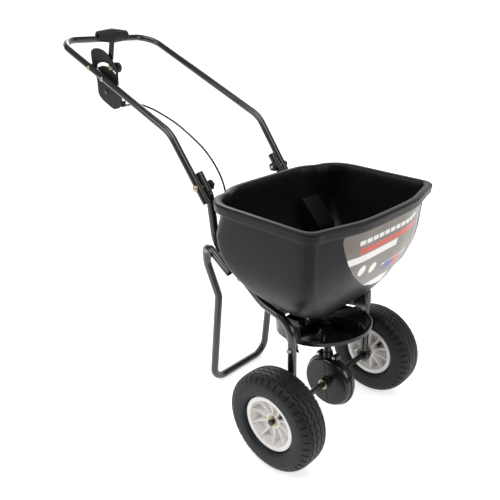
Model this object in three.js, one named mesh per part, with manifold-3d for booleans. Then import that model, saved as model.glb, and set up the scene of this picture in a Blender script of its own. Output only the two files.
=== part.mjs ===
import * as THREE from "three";
import Module from "manifold-3d";
const wasm = await Module();
wasm.setup();

// ---------------------------------------------------------------- driving dimensions (mm)
// X lateral (right wheel at -X), forward is -Y, Z up, origin on the floor under the axle centre
const TYRE_R = 130, TYRE_W = 85, TRACK_X = 221.5, RIM_R = 72.4, RIM_W = 62.8, SEAT_R = 66;
const AXLE_R = 7.9, AXLE_END = 248;
const FRAME_R = 11, HANDLE_R = 10, WALL = 1.8;
const FRAME_X_TOP = 141, FRAME_X_AXLE = 165;
const HANDLE_X_LOW = 163.6, HANDLE_X = 168;
const JOINT_Y = 331, JOINT_Z = 634;
const STAND_X = 113, STAND_Y = 342;
const TILT = 9.5;                      // the spinner shaft leans back by this angle, degrees
const DISC_R = 121, DISC_H = 168;      // spinner radius and height along the shaft above the axle
const FLOOR_H = 222;                   // hopper floor underside, along the shaft
const SHAFT_R = 5;
const LEVER_Y = 722, LEVER_Z = 830, LEVER_A = 105, STOP_R = 75, STOP_A = 116.5;
const RING_T = 28, PINION_T = 7, PITCH_RG = 48, PITCH_RP = 12;

// ---------------------------------------------------------------- helpers
const D = Math.PI / 180;
const group = new THREE.Group();
group.name = "garden_spreader";
const V = (x, y, z) => new THREE.Vector3(x, y, z);

function toSolid(geo) {
  const p = geo.attributes.position, idx = geo.index ? geo.index.array : null;
  const n = idx ? idx.length : p.count, map = new Map(), verts = [], tris = [];
  for (let i = 0; i < n; i++) {
    const k = idx ? idx[i] : i;
    const x = p.getX(k), y = p.getY(k), z = p.getZ(k);
    const key = Math.round(x * 2000) + "," + Math.round(y * 2000) + "," + Math.round(z * 2000);
    let id = map.get(key);
    if (id === undefined) { id = verts.length / 3; map.set(key, id); verts.push(x, y, z); }
    tris.push(id);
  }
  const out = [];
  let vol = 0;
  for (let i = 0; i < tris.length; i += 3) {
    const [a, b, c] = [tris[i], tris[i + 1], tris[i + 2]];
    if (a === b || b === c || a === c) continue;
    out.push(a, b, c);
    const A = V(...verts.slice(3 * a, 3 * a + 3)), B = V(...verts.slice(3 * b, 3 * b + 3)), C = V(...verts.slice(3 * c, 3 * c + 3));
    vol += A.dot(B.cross(C));
  }
  if (vol < 0) for (let i = 0; i < out.length; i += 3) [out[i + 1], out[i + 2]] = [out[i + 2], out[i + 1]];
  return new wasm.Manifold(new wasm.Mesh({ numProp: 3, vertProperties: new Float32Array(verts), triVerts: new Uint32Array(out) }));
}
function toGeometry(man) {
  const m = man.getMesh(), v = m.vertProperties, k = m.numProp, g = new THREE.BufferGeometry();
  const pos = new Float32Array((v.length / k) * 3);
  for (let i = 0; i < v.length / k; i++) { pos[3 * i] = v[k * i]; pos[3 * i + 1] = v[k * i + 1]; pos[3 * i + 2] = v[k * i + 2]; }
  g.setAttribute("position", new THREE.BufferAttribute(pos, 3));
  g.setIndex(new THREE.BufferAttribute(new Uint32Array(m.triVerts), 1));
  g.computeVertexNormals();
  return g;
}
function add(name, man, colour, roughness, metalness) {
  const mesh = new THREE.Mesh(toGeometry(man), new THREE.MeshStandardMaterial({ color: colour, roughness, metalness }));
  mesh.name = name;
  group.add(mesh);
  return man;
}
const moved = (geo, m) => toSolid(geo.applyMatrix4(m));
const at = (x, y, z) => new THREE.Matrix4().makeTranslation(x, y, z);
// rotation that stands the +Y axis of a round solid along X, Y or Z
const axisM = { x: new THREE.Matrix4().makeRotationZ(-Math.PI / 2), y: new THREE.Matrix4(), z: new THREE.Matrix4().makeRotationX(Math.PI / 2) };
function cyl(r, a, b, axis, p = [0, 0, 0], seg = 16, r2 = r, turn = 0) {
  const g = new THREE.CylinderGeometry(r2, r, Math.abs(b - a), seg, 1);
  g.applyMatrix4(new THREE.Matrix4().makeRotationY(turn * D));
  g.applyMatrix4(at(0, (a + b) / 2, 0));
  g.applyMatrix4(axisM[axis]);
  return moved(g, at(...p));
}
function box(x0, x1, y0, y1, z0, z1) {
  return moved(new THREE.BoxGeometry(x1 - x0, y1 - y0, z1 - z0), at((x0 + x1) / 2, (y0 + y1) / 2, (z0 + z1) / 2));
}
// closed profile of [radius, along] turned about an axis
function turned(prof, axis, p = [0, 0, 0], seg = 32) {
  const pts = prof.map(q => new THREE.Vector2(q[0], q[1]));
  pts.push(pts[0].clone());
  const g = new THREE.LatheGeometry(pts, seg);
  g.applyMatrix4(axisM[axis]);
  return moved(g, at(...p));
}
// outline in a plane pushed along the third axis: plane 'yz' is pushed along X, 'xy' along Z, 'xz' along Y
function plate(outline, holes, plane, a, b) {
  const s = new THREE.Shape(outline.map(q => new THREE.Vector2(q[0], q[1])));
  for (const h of holes) s.holes.push(new THREE.Path(h.map(q => new THREE.Vector2(q[0], q[1]))));
  const g = new THREE.ExtrudeGeometry(s, { depth: b - a, bevelEnabled: false, steps: 1 });
  g.applyMatrix4(at(0, 0, a));
  if (plane === "yz") g.applyMatrix4(new THREE.Matrix4().set(0, 0, 1, 0, 1, 0, 0, 0, 0, 1, 0, 0, 0, 0, 0, 1));
  if (plane === "xz") g.applyMatrix4(new THREE.Matrix4().set(1, 0, 0, 0, 0, 0, 1, 0, 0, 1, 0, 0, 0, 0, 0, 1));
  return toSolid(g);
}
const ring = (r, n, cx = 0, cy = 0) => Array.from({ length: n }, (_, i) => [cx + r * Math.cos(2 * Math.PI * i / n), cy + r * Math.sin(2 * Math.PI * i / n)]);
// route through corner points, each corner rounded with its own radius, with points only where it bends
class Route extends THREE.Curve {
  constructor(pts, radii, per = 6) {
    super();
    const P = pts.map(q => V(...q));
    this.pts = [P[0]]; this.tan = [P[1].clone().sub(P[0]).normalize()];
    for (let i = 1; i < P.length - 1; i++) {
      const u = P[i].clone().sub(P[i - 1]).normalize(), w = P[i + 1].clone().sub(P[i]).normalize();
      const ang = Math.acos(Math.min(1, Math.max(-1, u.dot(w))));
      const R = radii[i - 1], t = R * Math.tan(ang / 2);
      const A = P[i].clone().addScaledVector(u, -t);
      const nrm = w.clone().addScaledVector(u, -u.dot(w)).normalize();
      const c = A.clone().addScaledVector(nrm, R), k = Math.max(1, Math.round(per * ang / (Math.PI / 2)));
      for (let j = 0; j <= k; j++) {
        const a = ang * j / k;
        this.pts.push(c.clone().addScaledVector(nrm, -R * Math.cos(a)).addScaledVector(u, R * Math.sin(a)));
        this.tan.push(u.clone().multiplyScalar(Math.cos(a)).addScaledVector(nrm, Math.sin(a)));
      }
    }
    this.pts.push(P[P.length - 1]); this.tan.push(P[P.length - 1].clone().sub(P[P.length - 2]).normalize());
  }
  getSpacedPoints() { return this.pts; }
  getPoint(t) { return this.pts[Math.round(t * (this.pts.length - 1))]; }
  getPointAt(t) { return this.getPoint(t); }
  getTangentAt(t, o = new THREE.Vector3()) { return o.copy(this.tan[Math.round(t * (this.tan.length - 1))]); }
  getTangent(t, o) { return this.getTangentAt(t, o); }
}
function pipe(pts, radii, r, seg = 12, inner = 0, per = 6, iseg = 8) {
  const path = new Route(pts, radii, per), s = new THREE.Shape(ring(r, seg).map(q => new THREE.Vector2(q[0], q[1])));
  if (inner) s.holes.push(new THREE.Path(ring(inner, iseg).map(q => new THREE.Vector2(q[0], q[1]))));
  return toSolid(new THREE.ExtrudeGeometry(s, { steps: path.pts.length - 1, extrudePath: path, bevelEnabled: false }));
}
// stack of same-length outlines at rising heights, closed at both ends
function loft(rows) {
  const n = rows[0].length, pos = [], idx = [];
  for (const row of rows) for (const q of row) pos.push(...q);
  for (let i = 0; i < rows.length - 1; i++) for (let j = 0; j < n; j++) {
    const a = i * n + j, b = i * n + (j + 1) % n, c = a + n, d = b + n;
    idx.push(a, b, d, a, d, c);
  }
  for (const [r, flip] of [[0, true], [rows.length - 1, false]]) {
    const base = pos.length / 3, o = r * n;
    let cx = 0, cy = 0, cz = 0;
    for (const q of rows[r]) { cx += q[0] / n; cy += q[1] / n; cz += q[2] / n; }
    pos.push(cx, cy, cz);
    for (let j = 0; j < n; j++) { const a = o + j, b = o + (j + 1) % n; flip ? idx.push(base, b, a) : idx.push(base, a, b); }
  }
  const g = new THREE.BufferGeometry();
  g.setAttribute("position", new THREE.Float32BufferAttribute(pos, 3));
  g.setIndex(idx);
  return toSolid(g);
}
// the shaft's own frame: origin at the axle centre, third axis along the leaning shaft
const lean = man => man.rotate([-TILT, 0, 0]).translate([0, 0, TYRE_R]);
const leanPoint = (x, y, h) => [x, y * Math.cos(TILT * D) + h * Math.sin(TILT * D), TYRE_R - y * Math.sin(TILT * D) + h * Math.cos(TILT * D)];

const BLACK = 0x2b2b2d, POLY = 0x2f2f32, RUBBER = 0x24262a, WHITE = 0xd4d0ca, ZINC = 0xb9a878, STEEL = 0xa9abad, PLASTIC = 0x1f2022;

// ---------------------------------------------------------------- hopper
const supY = 188, supZ = 432.5;                      // where each tube carries the hopper
const supN = [0, -0.4728, 0.8812];
const supBolt = (s, a, b, r, seg = 10) => {
  const g = new THREE.CylinderGeometry(r, r, b - a, seg, 1);
  g.applyMatrix4(at(0, (a + b) / 2, 0));
  g.applyMatrix4(new THREE.Matrix4().makeRotationFromQuaternion(new THREE.Quaternion().setFromUnitVectors(V(0, 1, 0), V(...supN))));
  return moved(g, at(s * 155.2, supY, supZ));
};
const HZ = [345, 356, 372, 395, 422, 455, 495, 545, 627];
const HW = [62, 92, 130, 167, 194, 217, 232, 238, 243];
const HF = [6, -9, -31, -49, -63, -75, -83, -88, -90];
const HR = [66, 74, 90, 112, 138, 167, 189, 202, 208];
function outline(z, w, yf, yr, r, bf, br, r2 = r) {
  const out = [], corners = [[-w + r, yf + r, 180, r, 2], [w - r, yf + r, 270, r, 2], [w - r2, yr - r2, 0, r2, 3], [-w + r2, yr - r2, 90, r2, 3]];
  for (const [cx, cy, a0, r, k] of corners) {
    for (let i = 0; i <= k; i++) { const a = (a0 + 90 * i / k) * D; out.push([cx + r * Math.cos(a), cy + r * Math.sin(a), z]); }
    if (a0 === 180) out.push([-w * 0.42, yf - bf, z], [w * 0.42, yf - bf, z]);
    if (a0 === 0) out.push([w * 0.5, yr + br, z], [-w * 0.5, yr + br, z]);
  }
  return out;
}
const hopRow = (z, w, yf, yr, inset, zo = z) => {
  const g = Math.max(0, Math.min(1, (zo - 380) / 200)), r = 26 + 44 * Math.max(0, Math.min(1, (520 - zo) / 120));
  const rr = Math.min(r, w - 6, (yr - yf) / 2 - 2) - inset * 0.6;
  const r2 = Math.min(r + 42 * Math.max(0, Math.min(1, (zo - 565) / 62)), w - 6, (yr - yf) / 2 - 2) - inset * 0.6;
  return outline(z, w - inset, yf + inset, yr - inset, Math.max(8, rr), 30 * g, 24 * g, Math.max(8, r2));
};
const shell = HZ.map((z, i) => hopRow(z, HW[i], HF[i], HR[i], 0));
const rimRow = (z, o) => outline(z, 243 + o, -90 - o, 208 + o, 26 + o * 0.6, 30, 24, 68 + o * 0.6);
const outer = loft([...shell, rimRow(627.5, 13.5), rimRow(648, 16), rimRow(652, 12)]);
const hollow = loft([...HZ.map((z, i) => hopRow(z + (i ? 1 : 4), HW[i], HF[i], HR[i], 4.2, z)), rimRow(630, -4.2), rimRow(645, -2), rimRow(653, 1)]);
let hopper = outer.subtract(hollow);
// a moulded pocket on each side of the rear wall, open to the outside through a hole
for (const s of [-1, 1]) {
  const prism = (p, a, b) => plate(p, [], "yz", Math.min(s * a, s * b), Math.max(s * a, s * b));
  const whole = prism([[260, 577], [199, 575], [134, 508], [134, 432], [260, 432]], 95, 165);
  const inside = prism([[260, 572.6], [201, 570.6], [138.4, 506], [138.4, 436.4], [260, 436.4]], 99, 161);
  hopper = hopper.add(whole.intersect(outer).subtract(inside.intersect(hollow))).subtract(cyl(7, 150, 260, "y", [s * 130, 0, 520], 10));
}
// flat floor square to the shaft, with three outlets and the shaft hole
const belowFloor = lean(box(-300, 300, -300, 300, 0, FLOOR_H));
const outletAngles = [250, 290, 330];
const outlet = (a, r, h0, h1) => lean(cyl(r, h0, h1, "z", [44 * Math.cos(a * D), 44 * Math.sin(a * D) * 0.72, 0], 12));
const floorPad = lean(plate(ring(1, 20).map(q => [q[0] * 84, q[1] * 48]), [], "xy", FLOOR_H, FLOOR_H + 4));
hopper = hopper.add(floorPad.intersect(outer)).subtract(belowFloor);
// moulded feet that stand on the two side tubes
for (const s of [-1, 1]) hopper = hopper.add(supBolt(s, 12.2, 33.5, 10, 12)).subtract(supBolt(s, -40, 60, 3.4)).subtract(supBolt(s, 38.1, 60, 9.5, 10));
for (const s of [-1, 1]) hopper = hopper.subtract(lean(cyl(3.4, 190, 240, "z", [s * 74, 0, 0], 8))).subtract(lean(cyl(8.4, 226.1, 245, "z", [s * 74, 0, 0], 10)));
for (const a of outletAngles) hopper = hopper.subtract(outlet(a, 9, 190, 240));
hopper = hopper.subtract(lean(cyl(9.3, 190, 260, "z", [0, 0, 0], 14)));

// ---------------------------------------------------------------- side frame tubes, stand, upper handle
const eyelet = s => cyl(20, s * FRAME_X_AXLE - 6, s * FRAME_X_AXLE + 6, "x", [0, 0, TYRE_R], 16);
const hU = [0.6247, 0.7809];                       // direction of the folded-out lower handle leg in Y,Z
const boltX = (x0, x1, r, y, z, seg = 10) => cyl(r, x0, x1, "x", [0, y, z], seg);
const hb = leanPoint(0, 0, 0);
const sideTube = s => {
  let t = pipe([[s * FRAME_X_TOP, JOINT_Y + 38 * hU[0], JOINT_Z + 38 * hU[1]], [s * FRAME_X_TOP, JOINT_Y - 26 * hU[0], JOINT_Z - 26 * hU[1]],
    [s * 143, 292, 488], [s * FRAME_X_AXLE, 104, 388.6], [s * FRAME_X_AXLE, 10, 367], [s * FRAME_X_AXLE, 0, 146]], [50, 60, 120, 62], FRAME_R, 8, FRAME_R - WALL - 0.6, 4, 4);
  t = t.subtract(cyl(19.4, s * FRAME_X_AXLE - 30, s * FRAME_X_AXLE + 30, "x", [0, 0, TYRE_R], 16)).add(eyelet(s).subtract(cyl(12.3, s * FRAME_X_AXLE - 30, s * FRAME_X_AXLE + 30, "x", [0, 0, TYRE_R], 14)));
  return t.subtract(boltX(s * 100, s * 190, 4.3, JOINT_Y, JOINT_Z, 8)).subtract(boltX(s * 100, s * 200, 3.4, 268, 475.3, 8)).subtract(supBolt(s, -40, 40, 3.4)).subtract(boltX(s * 140, s * 190, 3.3, 7, 300, 8));
};
const sub = (a, ...b) => b.reduce((m, q) => m.subtract(q), a);
add("hopper", hopper, POLY, 0.45, 0);
for (const [s, side] of [[-1, "right"], [1, "left"]]) {
  add("frame_tube_" + side, sideTube(s), BLACK, 0.3, 0.4);
}
const legTop = s => [s * 167.5, 306, 497];
let stand = pipe([[-179, 205, 442.2], [-170.6, 302, 493], [-150, 320, 425], [-113, 316, 310], [-113, 342, 10.6], [113, 342, 10.6], [113, 316, 310], [150, 320, 425], [170.6, 302, 493], [179, 205, 442.2]],
  [26, 90, 60, 45, 45, 60, 90, 26], FRAME_R, 8, FRAME_R - WALL - 0.6, 4, 4);
for (const s of [-1, 1]) stand = stand.subtract(boltX(s * 100, s * 200, 3.4, 268, 475.3, 8));
const below = box(-400, 400, -400, 600, -20, 1);     // everything that stands is cut flat here
add("rear_stand", stand.subtract(below), BLACK, 0.3, 0.4);
const HT = [933.8, 956.3], HB = [431.6, 759.3];
const low = [JOINT_Y - 44 * hU[0], JOINT_Z - 44 * hU[1]];
let handle = pipe([[-HANDLE_X_LOW, ...low], [-HANDLE_X, ...HB], [-HANDLE_X, ...HT], [HANDLE_X, ...HT], [HANDLE_X, ...HB], [HANDLE_X_LOW, ...low]],
  [90, 62, 62, 90], HANDLE_R, 8, HANDLE_R - WALL - 0.6, 4, 5);
for (const s of [-1, 1]) handle = handle.subtract(boltX(s * 140, s * 190, 4.7, JOINT_Y, JOINT_Z, 12));
const PB = [[769, 891.6], [708, 867.7]];           // bolts that hold the control plate to the leg
for (const [y, z] of PB) handle = handle.subtract(boltX(-190, -140, 3.3, y, z, 8));
add("upper_handle", handle, BLACK, 0.3, 0.4);

// ---------------------------------------------------------------- fold bolts and knobs
for (const [s, side] of [[-1, "right"], [1, "left"]]) {
  const X = x => s * x, o = [0, JOINT_Y, JOINT_Z];
  add("fold_bolt_" + side, cyl(4, X(116), X(176), "x", o, 8).add(cyl(9, X(175.3), X(180), "x", o, 10)), ZINC, 0.35, 0.8);
  let knob = cyl(13.5, X(118), X(128.5), "x", o, 10, 13.5, 9).add(cyl(9, X(128), X(129.7), "x", o, 10));
  for (let k = 0; k < 5; k++) { const a = k * 72 * D; knob = knob.subtract(cyl(3.4, X(110), X(128), "x", [0, JOINT_Y + 15.4 * Math.cos(a), JOINT_Z + 15.4 * Math.sin(a)], 6)); }
  add("fold_knob_" + side, knob.subtract(cyl(4.3, X(111), X(131), "x", o, 8)), PLASTIC, 0.5, 0);
  add("stand_bolt_" + side, cyl(3.1, X(128), X(187), "x", [0, 268, 475.3], 8).add(cyl(7, X(185.8), X(189.8), "x", [0, 268, 475.3], 6)).add(cyl(7, X(129.2), X(133.6), "x", [0, 268, 475.3], 6)), ZINC, 0.35, 0.8);
  add("hopper_bolt_" + side, supBolt(s, -20, 39, 3.1, 8).add(supBolt(s, 38.4, 41.5, 9, 12)).add(supBolt(s, -17.5, -11.4, 7, 6)), ZINC, 0.35, 0.8);
  // axle bushing, washer and spacer between frame and wheel
  const ax = [0, 0, TYRE_R];
  add("axle_bushing_" + side, sub(cyl(11.9, X(157), X(172), "x", ax, 14).add(cyl(18, X(171.4), X(174.4), "x", ax, 14)), cyl(8.3, X(150), X(180), "x", ax, 16)), PLASTIC, 0.5, 0);
  add("axle_spacer_" + side, sub(cyl(13.5, X(174.8), X(187.2), "x", ax, 14), cyl(8.3, X(170), X(190), "x", ax, 16)), ZINC, 0.35, 0.8);
  // wheel: rim, tyre, outer washer
  const w = (side === "right" ? "drive" : "idle"), wx = [s * TRACK_X, 0, TYRE_R], S = s;
  const prof = [[8.3, -34], [20, -34], [21, -5], [59, -5], [61.5, -31.4], [RIM_R, -31.4], [RIM_R, -27.2], [SEAT_R, -27.2], [SEAT_R, 27.2], [RIM_R, 27.2], [RIM_R, 31.4], [61.5, 31.4], [59, 5], [21, 5], [20, 15.5], [8.3, 15.5]];
  let rim = turned(prof.map(q => [q[0], S * q[1]]), "x", wx, 24);
  for (let k = 0; k < 10; k++) {
    const rib = (a, b) => plate([[15, 0], [63.5, 0], [63.5, b], [15, a]], [], "xy", -1.8, 1.8);
    for (const [sg, a, b] of [[1, 13, 22], [-1, 26, 22]]) {
      let m = rib(a, b);
      m = moved(toGeometry(m), new THREE.Matrix4().set(0, S * sg, 0, S * sg * 4, 1, 0, 0, 0, 0, 0, 1, 0, 0, 0, 0, 1));
      rim = rim.add(m.rotate([36 * k + 9, 0, 0]).translate(wx));
    }
  }
  const hubPin = cyl(2.3, -30, 30, "z", [s * 204, 0, TYRE_R], 8);
  rim = rim.subtract(cyl(8.3, X(170), X(260), "x", ax, 16));
  if (side === "right") rim = rim.subtract(hubPin);
  const va = 135 * D, vr = 32;
  const vy = vr * Math.cos(va), vz = TYRE_R + vr * Math.sin(va);
  rim = rim.subtract(cyl(4.4, X(200), X(240), "x", [0, vy, vz], 8));
  add(w + "_rim", rim, WHITE, 0.45, 0);
  const tp = [[SEAT_R + 0.5, 0], [SEAT_R + 0.5, 26.8], [73.6, 26.8], [80, 39.5], [95, 42.5], [110, 41.5], [122, 35.5], [128.5, 24], [130, 9]];
  add(w + "_tyre", turned([...tp, ...tp.slice(1).reverse().map(q => [q[0], -q[1]])], "x", wx, 24).subtract(below), RUBBER, 0.85, 0);
  add(w + "_valve_stem", cyl(4.1, X(213), X(240), "x", [0, vy, vz], 8).add(cyl(6, X(228), X(232), "x", [0, vy, vz], 8)), PLASTIC, 0.6, 0);
  add(w + "_washer", sub(cyl(15, X(237.3), X(239.5), "x", ax, 12), cyl(8.3, X(230), X(250), "x", ax, 12)), ZINC, 0.35, 0.8);
}

// ---------------------------------------------------------------- axle, drive pin, cotters
const pinHole = (x, r) => cyl(r, -20, 20, "z", [x, 0, TYRE_R], 8);
add("axle", sub(cyl(AXLE_R, -AXLE_END, AXLE_END, "x", [0, 0, TYRE_R], 16), pinHole(-204, 2.3), pinHole(-243.3, 1.9), pinHole(243.3, 1.9), pinHole(-39.6, 1.9)), STEEL, 0.35, 0.9);
add("drive_pin", cyl(2, -23.5, 23.5, "z", [-204, 0, TYRE_R], 8), STEEL, 0.35, 0.9);
const cotter = x => cyl(1.6, -14, 14, "z", [x, 0, TYRE_R], 8).add(cyl(3.4, 11.5, 17, "z", [x, 0, TYRE_R], 8));
add("axle_cotter_right", cotter(-243.3), ZINC, 0.35, 0.8);
add("axle_cotter_left", cotter(243.3), ZINC, 0.35, 0.8);

// ---------------------------------------------------------------- gear case, gears, shaft, spinner
const bossPts = [[0, 62], [13, 62], [13, 86], [9.5, 90], [9.5, 99], [0, 99]];
let caseFull = turned([[0, -21.4], [64, -21.4], [70, -16], [71, -5], [75, -4], [75, 4], [71, 5], [70, 16], [64, 21.4], [0, 21.4]], "x", [0, 0, 0], 24);
caseFull = caseFull.add(cyl(15, -33, 33, "x", [0, 0, 0], 14)).add(turned(bossPts, "z", [0, 0, 0], 14));
const lugs = [[25, 74], [-25, 74]];
for (const [y, z] of lugs) caseFull = caseFull.add(cyl(8, -9, 9, "x", [0, y, z], 10));
caseFull = caseFull.subtract(turned([[0, -18.4], [61, -18.4], [65, -14], [65, 14], [61, 18.4], [0, 18.4]], "x", [0, 0, 0], 24));
caseFull = caseFull.subtract(cyl(8.3, -40, 40, "x", [0, 0, 0], 16)).subtract(cyl(SHAFT_R + 0.3, 30, 120, "z", [0, 0, 0], 12));
for (const [y, z] of lugs) caseFull = caseFull.subtract(cyl(2.6, -20, 20, "x", [0, y, z], 8));
add("gearcase_right_half", lean(caseFull.intersect(box(-60, -0.15, -120, 120, -120, 120))), POLY, 0.4, 0.2);
add("gearcase_left_half", lean(caseFull.intersect(box(0.15, 60, -120, 120, -120, 120))), POLY, 0.4, 0.2);
lugs.forEach(([y, z], i) => add("gearcase_screw_" + (i + 1), lean(cyl(2.3, -9.5, 11, "x", [0, y, z], 8).add(cyl(4.6, -12.5, -9.3, "x", [0, y, z], 8))), STEEL, 0.4, 0.8));
add("case_washer_right", sub(cyl(14, -33.4, -35.6, "x", [0, 0, TYRE_R], 14), cyl(8.3, -30, -40, "x", [0, 0, TYRE_R], 16)), ZINC, 0.35, 0.8);
add("case_cotter_right", cotter(-39.6), ZINC, 0.35, 0.8);
add("case_collar_left", sub(cyl(13, 33.4, 42, "x", [0, 0, TYRE_R], 14), cyl(8.3, 30, 50, "x", [0, 0, TYRE_R], 16)), ZINC, 0.35, 0.8);
// ring gear: teeth face -X on a cone whose apex is the axle centre
function ringGear() {
  const cols = RING_T * 4, tip = PITCH_RP - 2.3, root = PITCH_RP + 3.1, ro = PITCH_RG + 1.5, ri = 37, back = 17.3, pos = [], idx = [];
  const frac = [-0.29, -0.12, 0.12, 0.29];
  for (let i = 0; i < cols; i++) {
    const t = Math.floor(i / 4), k = i % 4, a = 2 * Math.PI * (t + 0.5 + frac[k]) / RING_T, f = (k === 1 || k === 2) ? tip : root;
    for (const [r, x] of [[ro, f * ro / PITCH_RG], [ri, f * ri / PITCH_RG], [ri, back], [ro, back]]) pos.push(x, r * Math.sin(a), r * Math.cos(a));
  }
  for (let i = 0; i < cols; i++) {
    const a = i * 4, b = ((i + 1) % cols) * 4;
    for (let k = 0; k < 4; k++) { const m = (k + 1) % 4; idx.push(a + k, b + k, b + m, a + k, b + m, a + m); }
  }
  const g = new THREE.BufferGeometry();
  g.setAttribute("position", new THREE.Float32BufferAttribute(pos, 3)); g.setIndex(idx);
  return toSolid(g);
}
let gear = ringGear().add(turned([[8.3, 9], [15, 9], [15, 13.5], [38.5, 13.5], [38.5, 17.2], [8.3, 17.2]], "x", [0, 0, 0], 10));
gear = gear.translate([0, 0, 0]).subtract(cyl(8.3, -5, 30, "x", [0, 0, 0], 16));
add("ring_gear", lean(gear), STEEL, 0.4, 0.8);
function pinionSolid() {
  const frac = [-0.27, -0.09, 0.09, 0.27], rows = [];
  for (const h of [37.5, 48.5]) {
    const row = [];
    for (let t = 0; t < PINION_T; t++) for (let k = 0; k < 4; k++) {
      const a = 2 * Math.PI * (t + frac[k]) / PINION_T, r = ((k === 1 || k === 2) ? PITCH_RP + 2.2 : PITCH_RP - 3.3) * h / PITCH_RG;
      row.push([r * Math.cos(a), r * Math.sin(a), h]);
    }
    rows.push(row);
  }
  return loft(rows);
}
add("bevel_pinion", lean(pinionSolid().add(cyl(8, 48, 56, "z", [0, 0, 0], 16)).subtract(cyl(SHAFT_R + 0.25, 30, 60, "z", [0, 0, 0], 14))), STEEL, 0.4, 0.8);
const shaft = cyl(SHAFT_R, 31, 262, "z", [0, 0, 0], 14).subtract(cyl(1.9, -20, 20, "x", [0, 0, 158], 8)).subtract(cyl(1.9, -20, 20, "x", [0, 0, 248], 8));
add("spinner_shaft", lean(shaft), STEEL, 0.3, 0.9);
add("spinner_pin", lean(cyl(1.6, -16, 16, "x", [0, 0, 158], 8)), STEEL, 0.35, 0.9);
add("agitator_pin", lean(cyl(1.6, -34, 34, "x", [0, 0, 248], 8)), STEEL, 0.35, 0.9);
add("shaft_bushing", lean(sub(cyl(9, FLOOR_H - 4, FLOOR_H + 8, "z", [0, 0, 0], 16).add(cyl(14, FLOOR_H + 4.6, FLOOR_H + 8, "z", [0, 0, 0], 16)), cyl(SHAFT_R + 0.3, 200, 240, "z", [0, 0, 0], 14))), PLASTIC, 0.5, 0);
let spinner = turned([[0, 150], [15, 150], [16, 164], [DISC_R - 3, 164], [DISC_R - 3, 158], [DISC_R, 158], [DISC_R, 168.5], [DISC_R - 5, 167], [16, 167], [15, 192], [0, 192]], "z", [0, 0, 0], 24);
for (let k = 0; k < 6; k++) {
  const a = 214.5 + 60 * k, vane = plate([[12, 166], [114, 166], [114, 176], [100, 190], [26, 190], [12, 184]], [], "xz", -1.5, 1.5);
  spinner = spinner.add(vane.rotate([0, 0, a]));
}
spinner = spinner.subtract(cyl(SHAFT_R + 0.25, 140, 200, "z", [0, 0, 0], 14)).subtract(cyl(1.9, -20, 20, "x", [0, 0, 158], 8));
add("spinner", lean(spinner), PLASTIC, 0.3, 0);

// ---------------------------------------------------------------- hopper floor bracket, gate, deflector
// bracket under the floor: plate with side channels that hold the sliding gate, and a rear arm for the cable
const gx = a => 44 * Math.cos(a * D), gy = a => 44 * Math.sin(a * D) * 0.72;
let bracket = plate([[-82, -30], [-66, -44], [66, -44], [82, -30], [82, 30], [66, 46], [12, 46], [12, 113], [-12, 113], [-12, 46], [-66, 46], [-82, 30]], [ring(9.4, 16), ...outletAngles.map(a => ring(9.5, 10, gx(a), gy(a)))], "xy", 219, 221.7);
for (const s of [-1, 1]) {
  bracket = bracket.add(box(Math.min(s * 63.5, s * 66), Math.max(s * 63.5, s * 66), -44, 46, 212, 220)).add(box(Math.min(s * 57, s * 66), Math.max(s * 57, s * 66), -44, 46, 212, 213.5));
  bracket = bracket.subtract(cyl(3.3, 190, 240, "z", [s * 74, 0, 0], 8));
}
bracket = bracket.add(box(-12, 12, 110.5, 113, 204, 221)).subtract(cyl(3, 100, 120, "y", [0, 0, 210.6], 8));
add("gate_bracket", lean(bracket), BLACK, 0.4, 0.5);
let gate = plate([[-63, -42], [63, -42], [63, 34], [12, 34], [12, 74], [-12, 74], [-12, 34], [-63, 34]], [[[-9.6, -14], [9.6, -14], [9.6, 34], [-9.6, 34]], ...outletAngles.map(a => ring(9, 10, gx(a), gy(a)))], "xy", 215, 217);
gate = gate.add(box(-5, 5, 72, 74, 207, 216));
add("shutter_gate", lean(gate), STEEL, 0.4, 0.8);
// flat brace between the side tubes, below the gate, with the shaft through it
const braceTab = s => plate([[-5, 289], [20, 289], [52, 333], [18, 336]], [ring(3.4, 8, 7, 300)], "yz", Math.min(s * 151, s * 153.7), Math.max(s * 151, s * 153.7));
let brace = lean(plate([[-153, -13], [153, -13], [153, 13], [-153, 13]], [ring(7, 12), ring(3.3, 8, 74, 0), ring(3.3, 8, -74, 0), ring(2.6, 8, 118, 0), ring(2.6, 8, -118, 0)], "xy", 200, 203));
for (const s of [-1, 1]) brace = brace.add(braceTab(s));
add("cross_brace", brace, BLACK, 0.35, 0.5);
for (const [s, side] of [[-1, "right"], [1, "left"]]) {
  add("brace_bolt_" + side, cyl(3, s * 146, s * 180, "x", [0, 7, 300], 8).add(cyl(6.5, s * 176.5, s * 180.5, "x", [0, 7, 300], 6)).add(cyl(6.5, s * 146.5, s * 150.6, "x", [0, 7, 300], 6)), ZINC, 0.35, 0.8);
  add("floor_bolt_" + side, lean(cyl(3, 195, 227, "z", [s * 74, 0, 0], 8).add(cyl(5.6, 203.4, 218.6, "z", [s * 74, 0, 0], 8)).add(cyl(6, 196, 199.6, "z", [s * 74, 0, 0], 6)).add(cyl(7.5, 226.4, 229, "z", [s * 74, 0, 0], 10))), ZINC, 0.35, 0.8);
}
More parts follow.
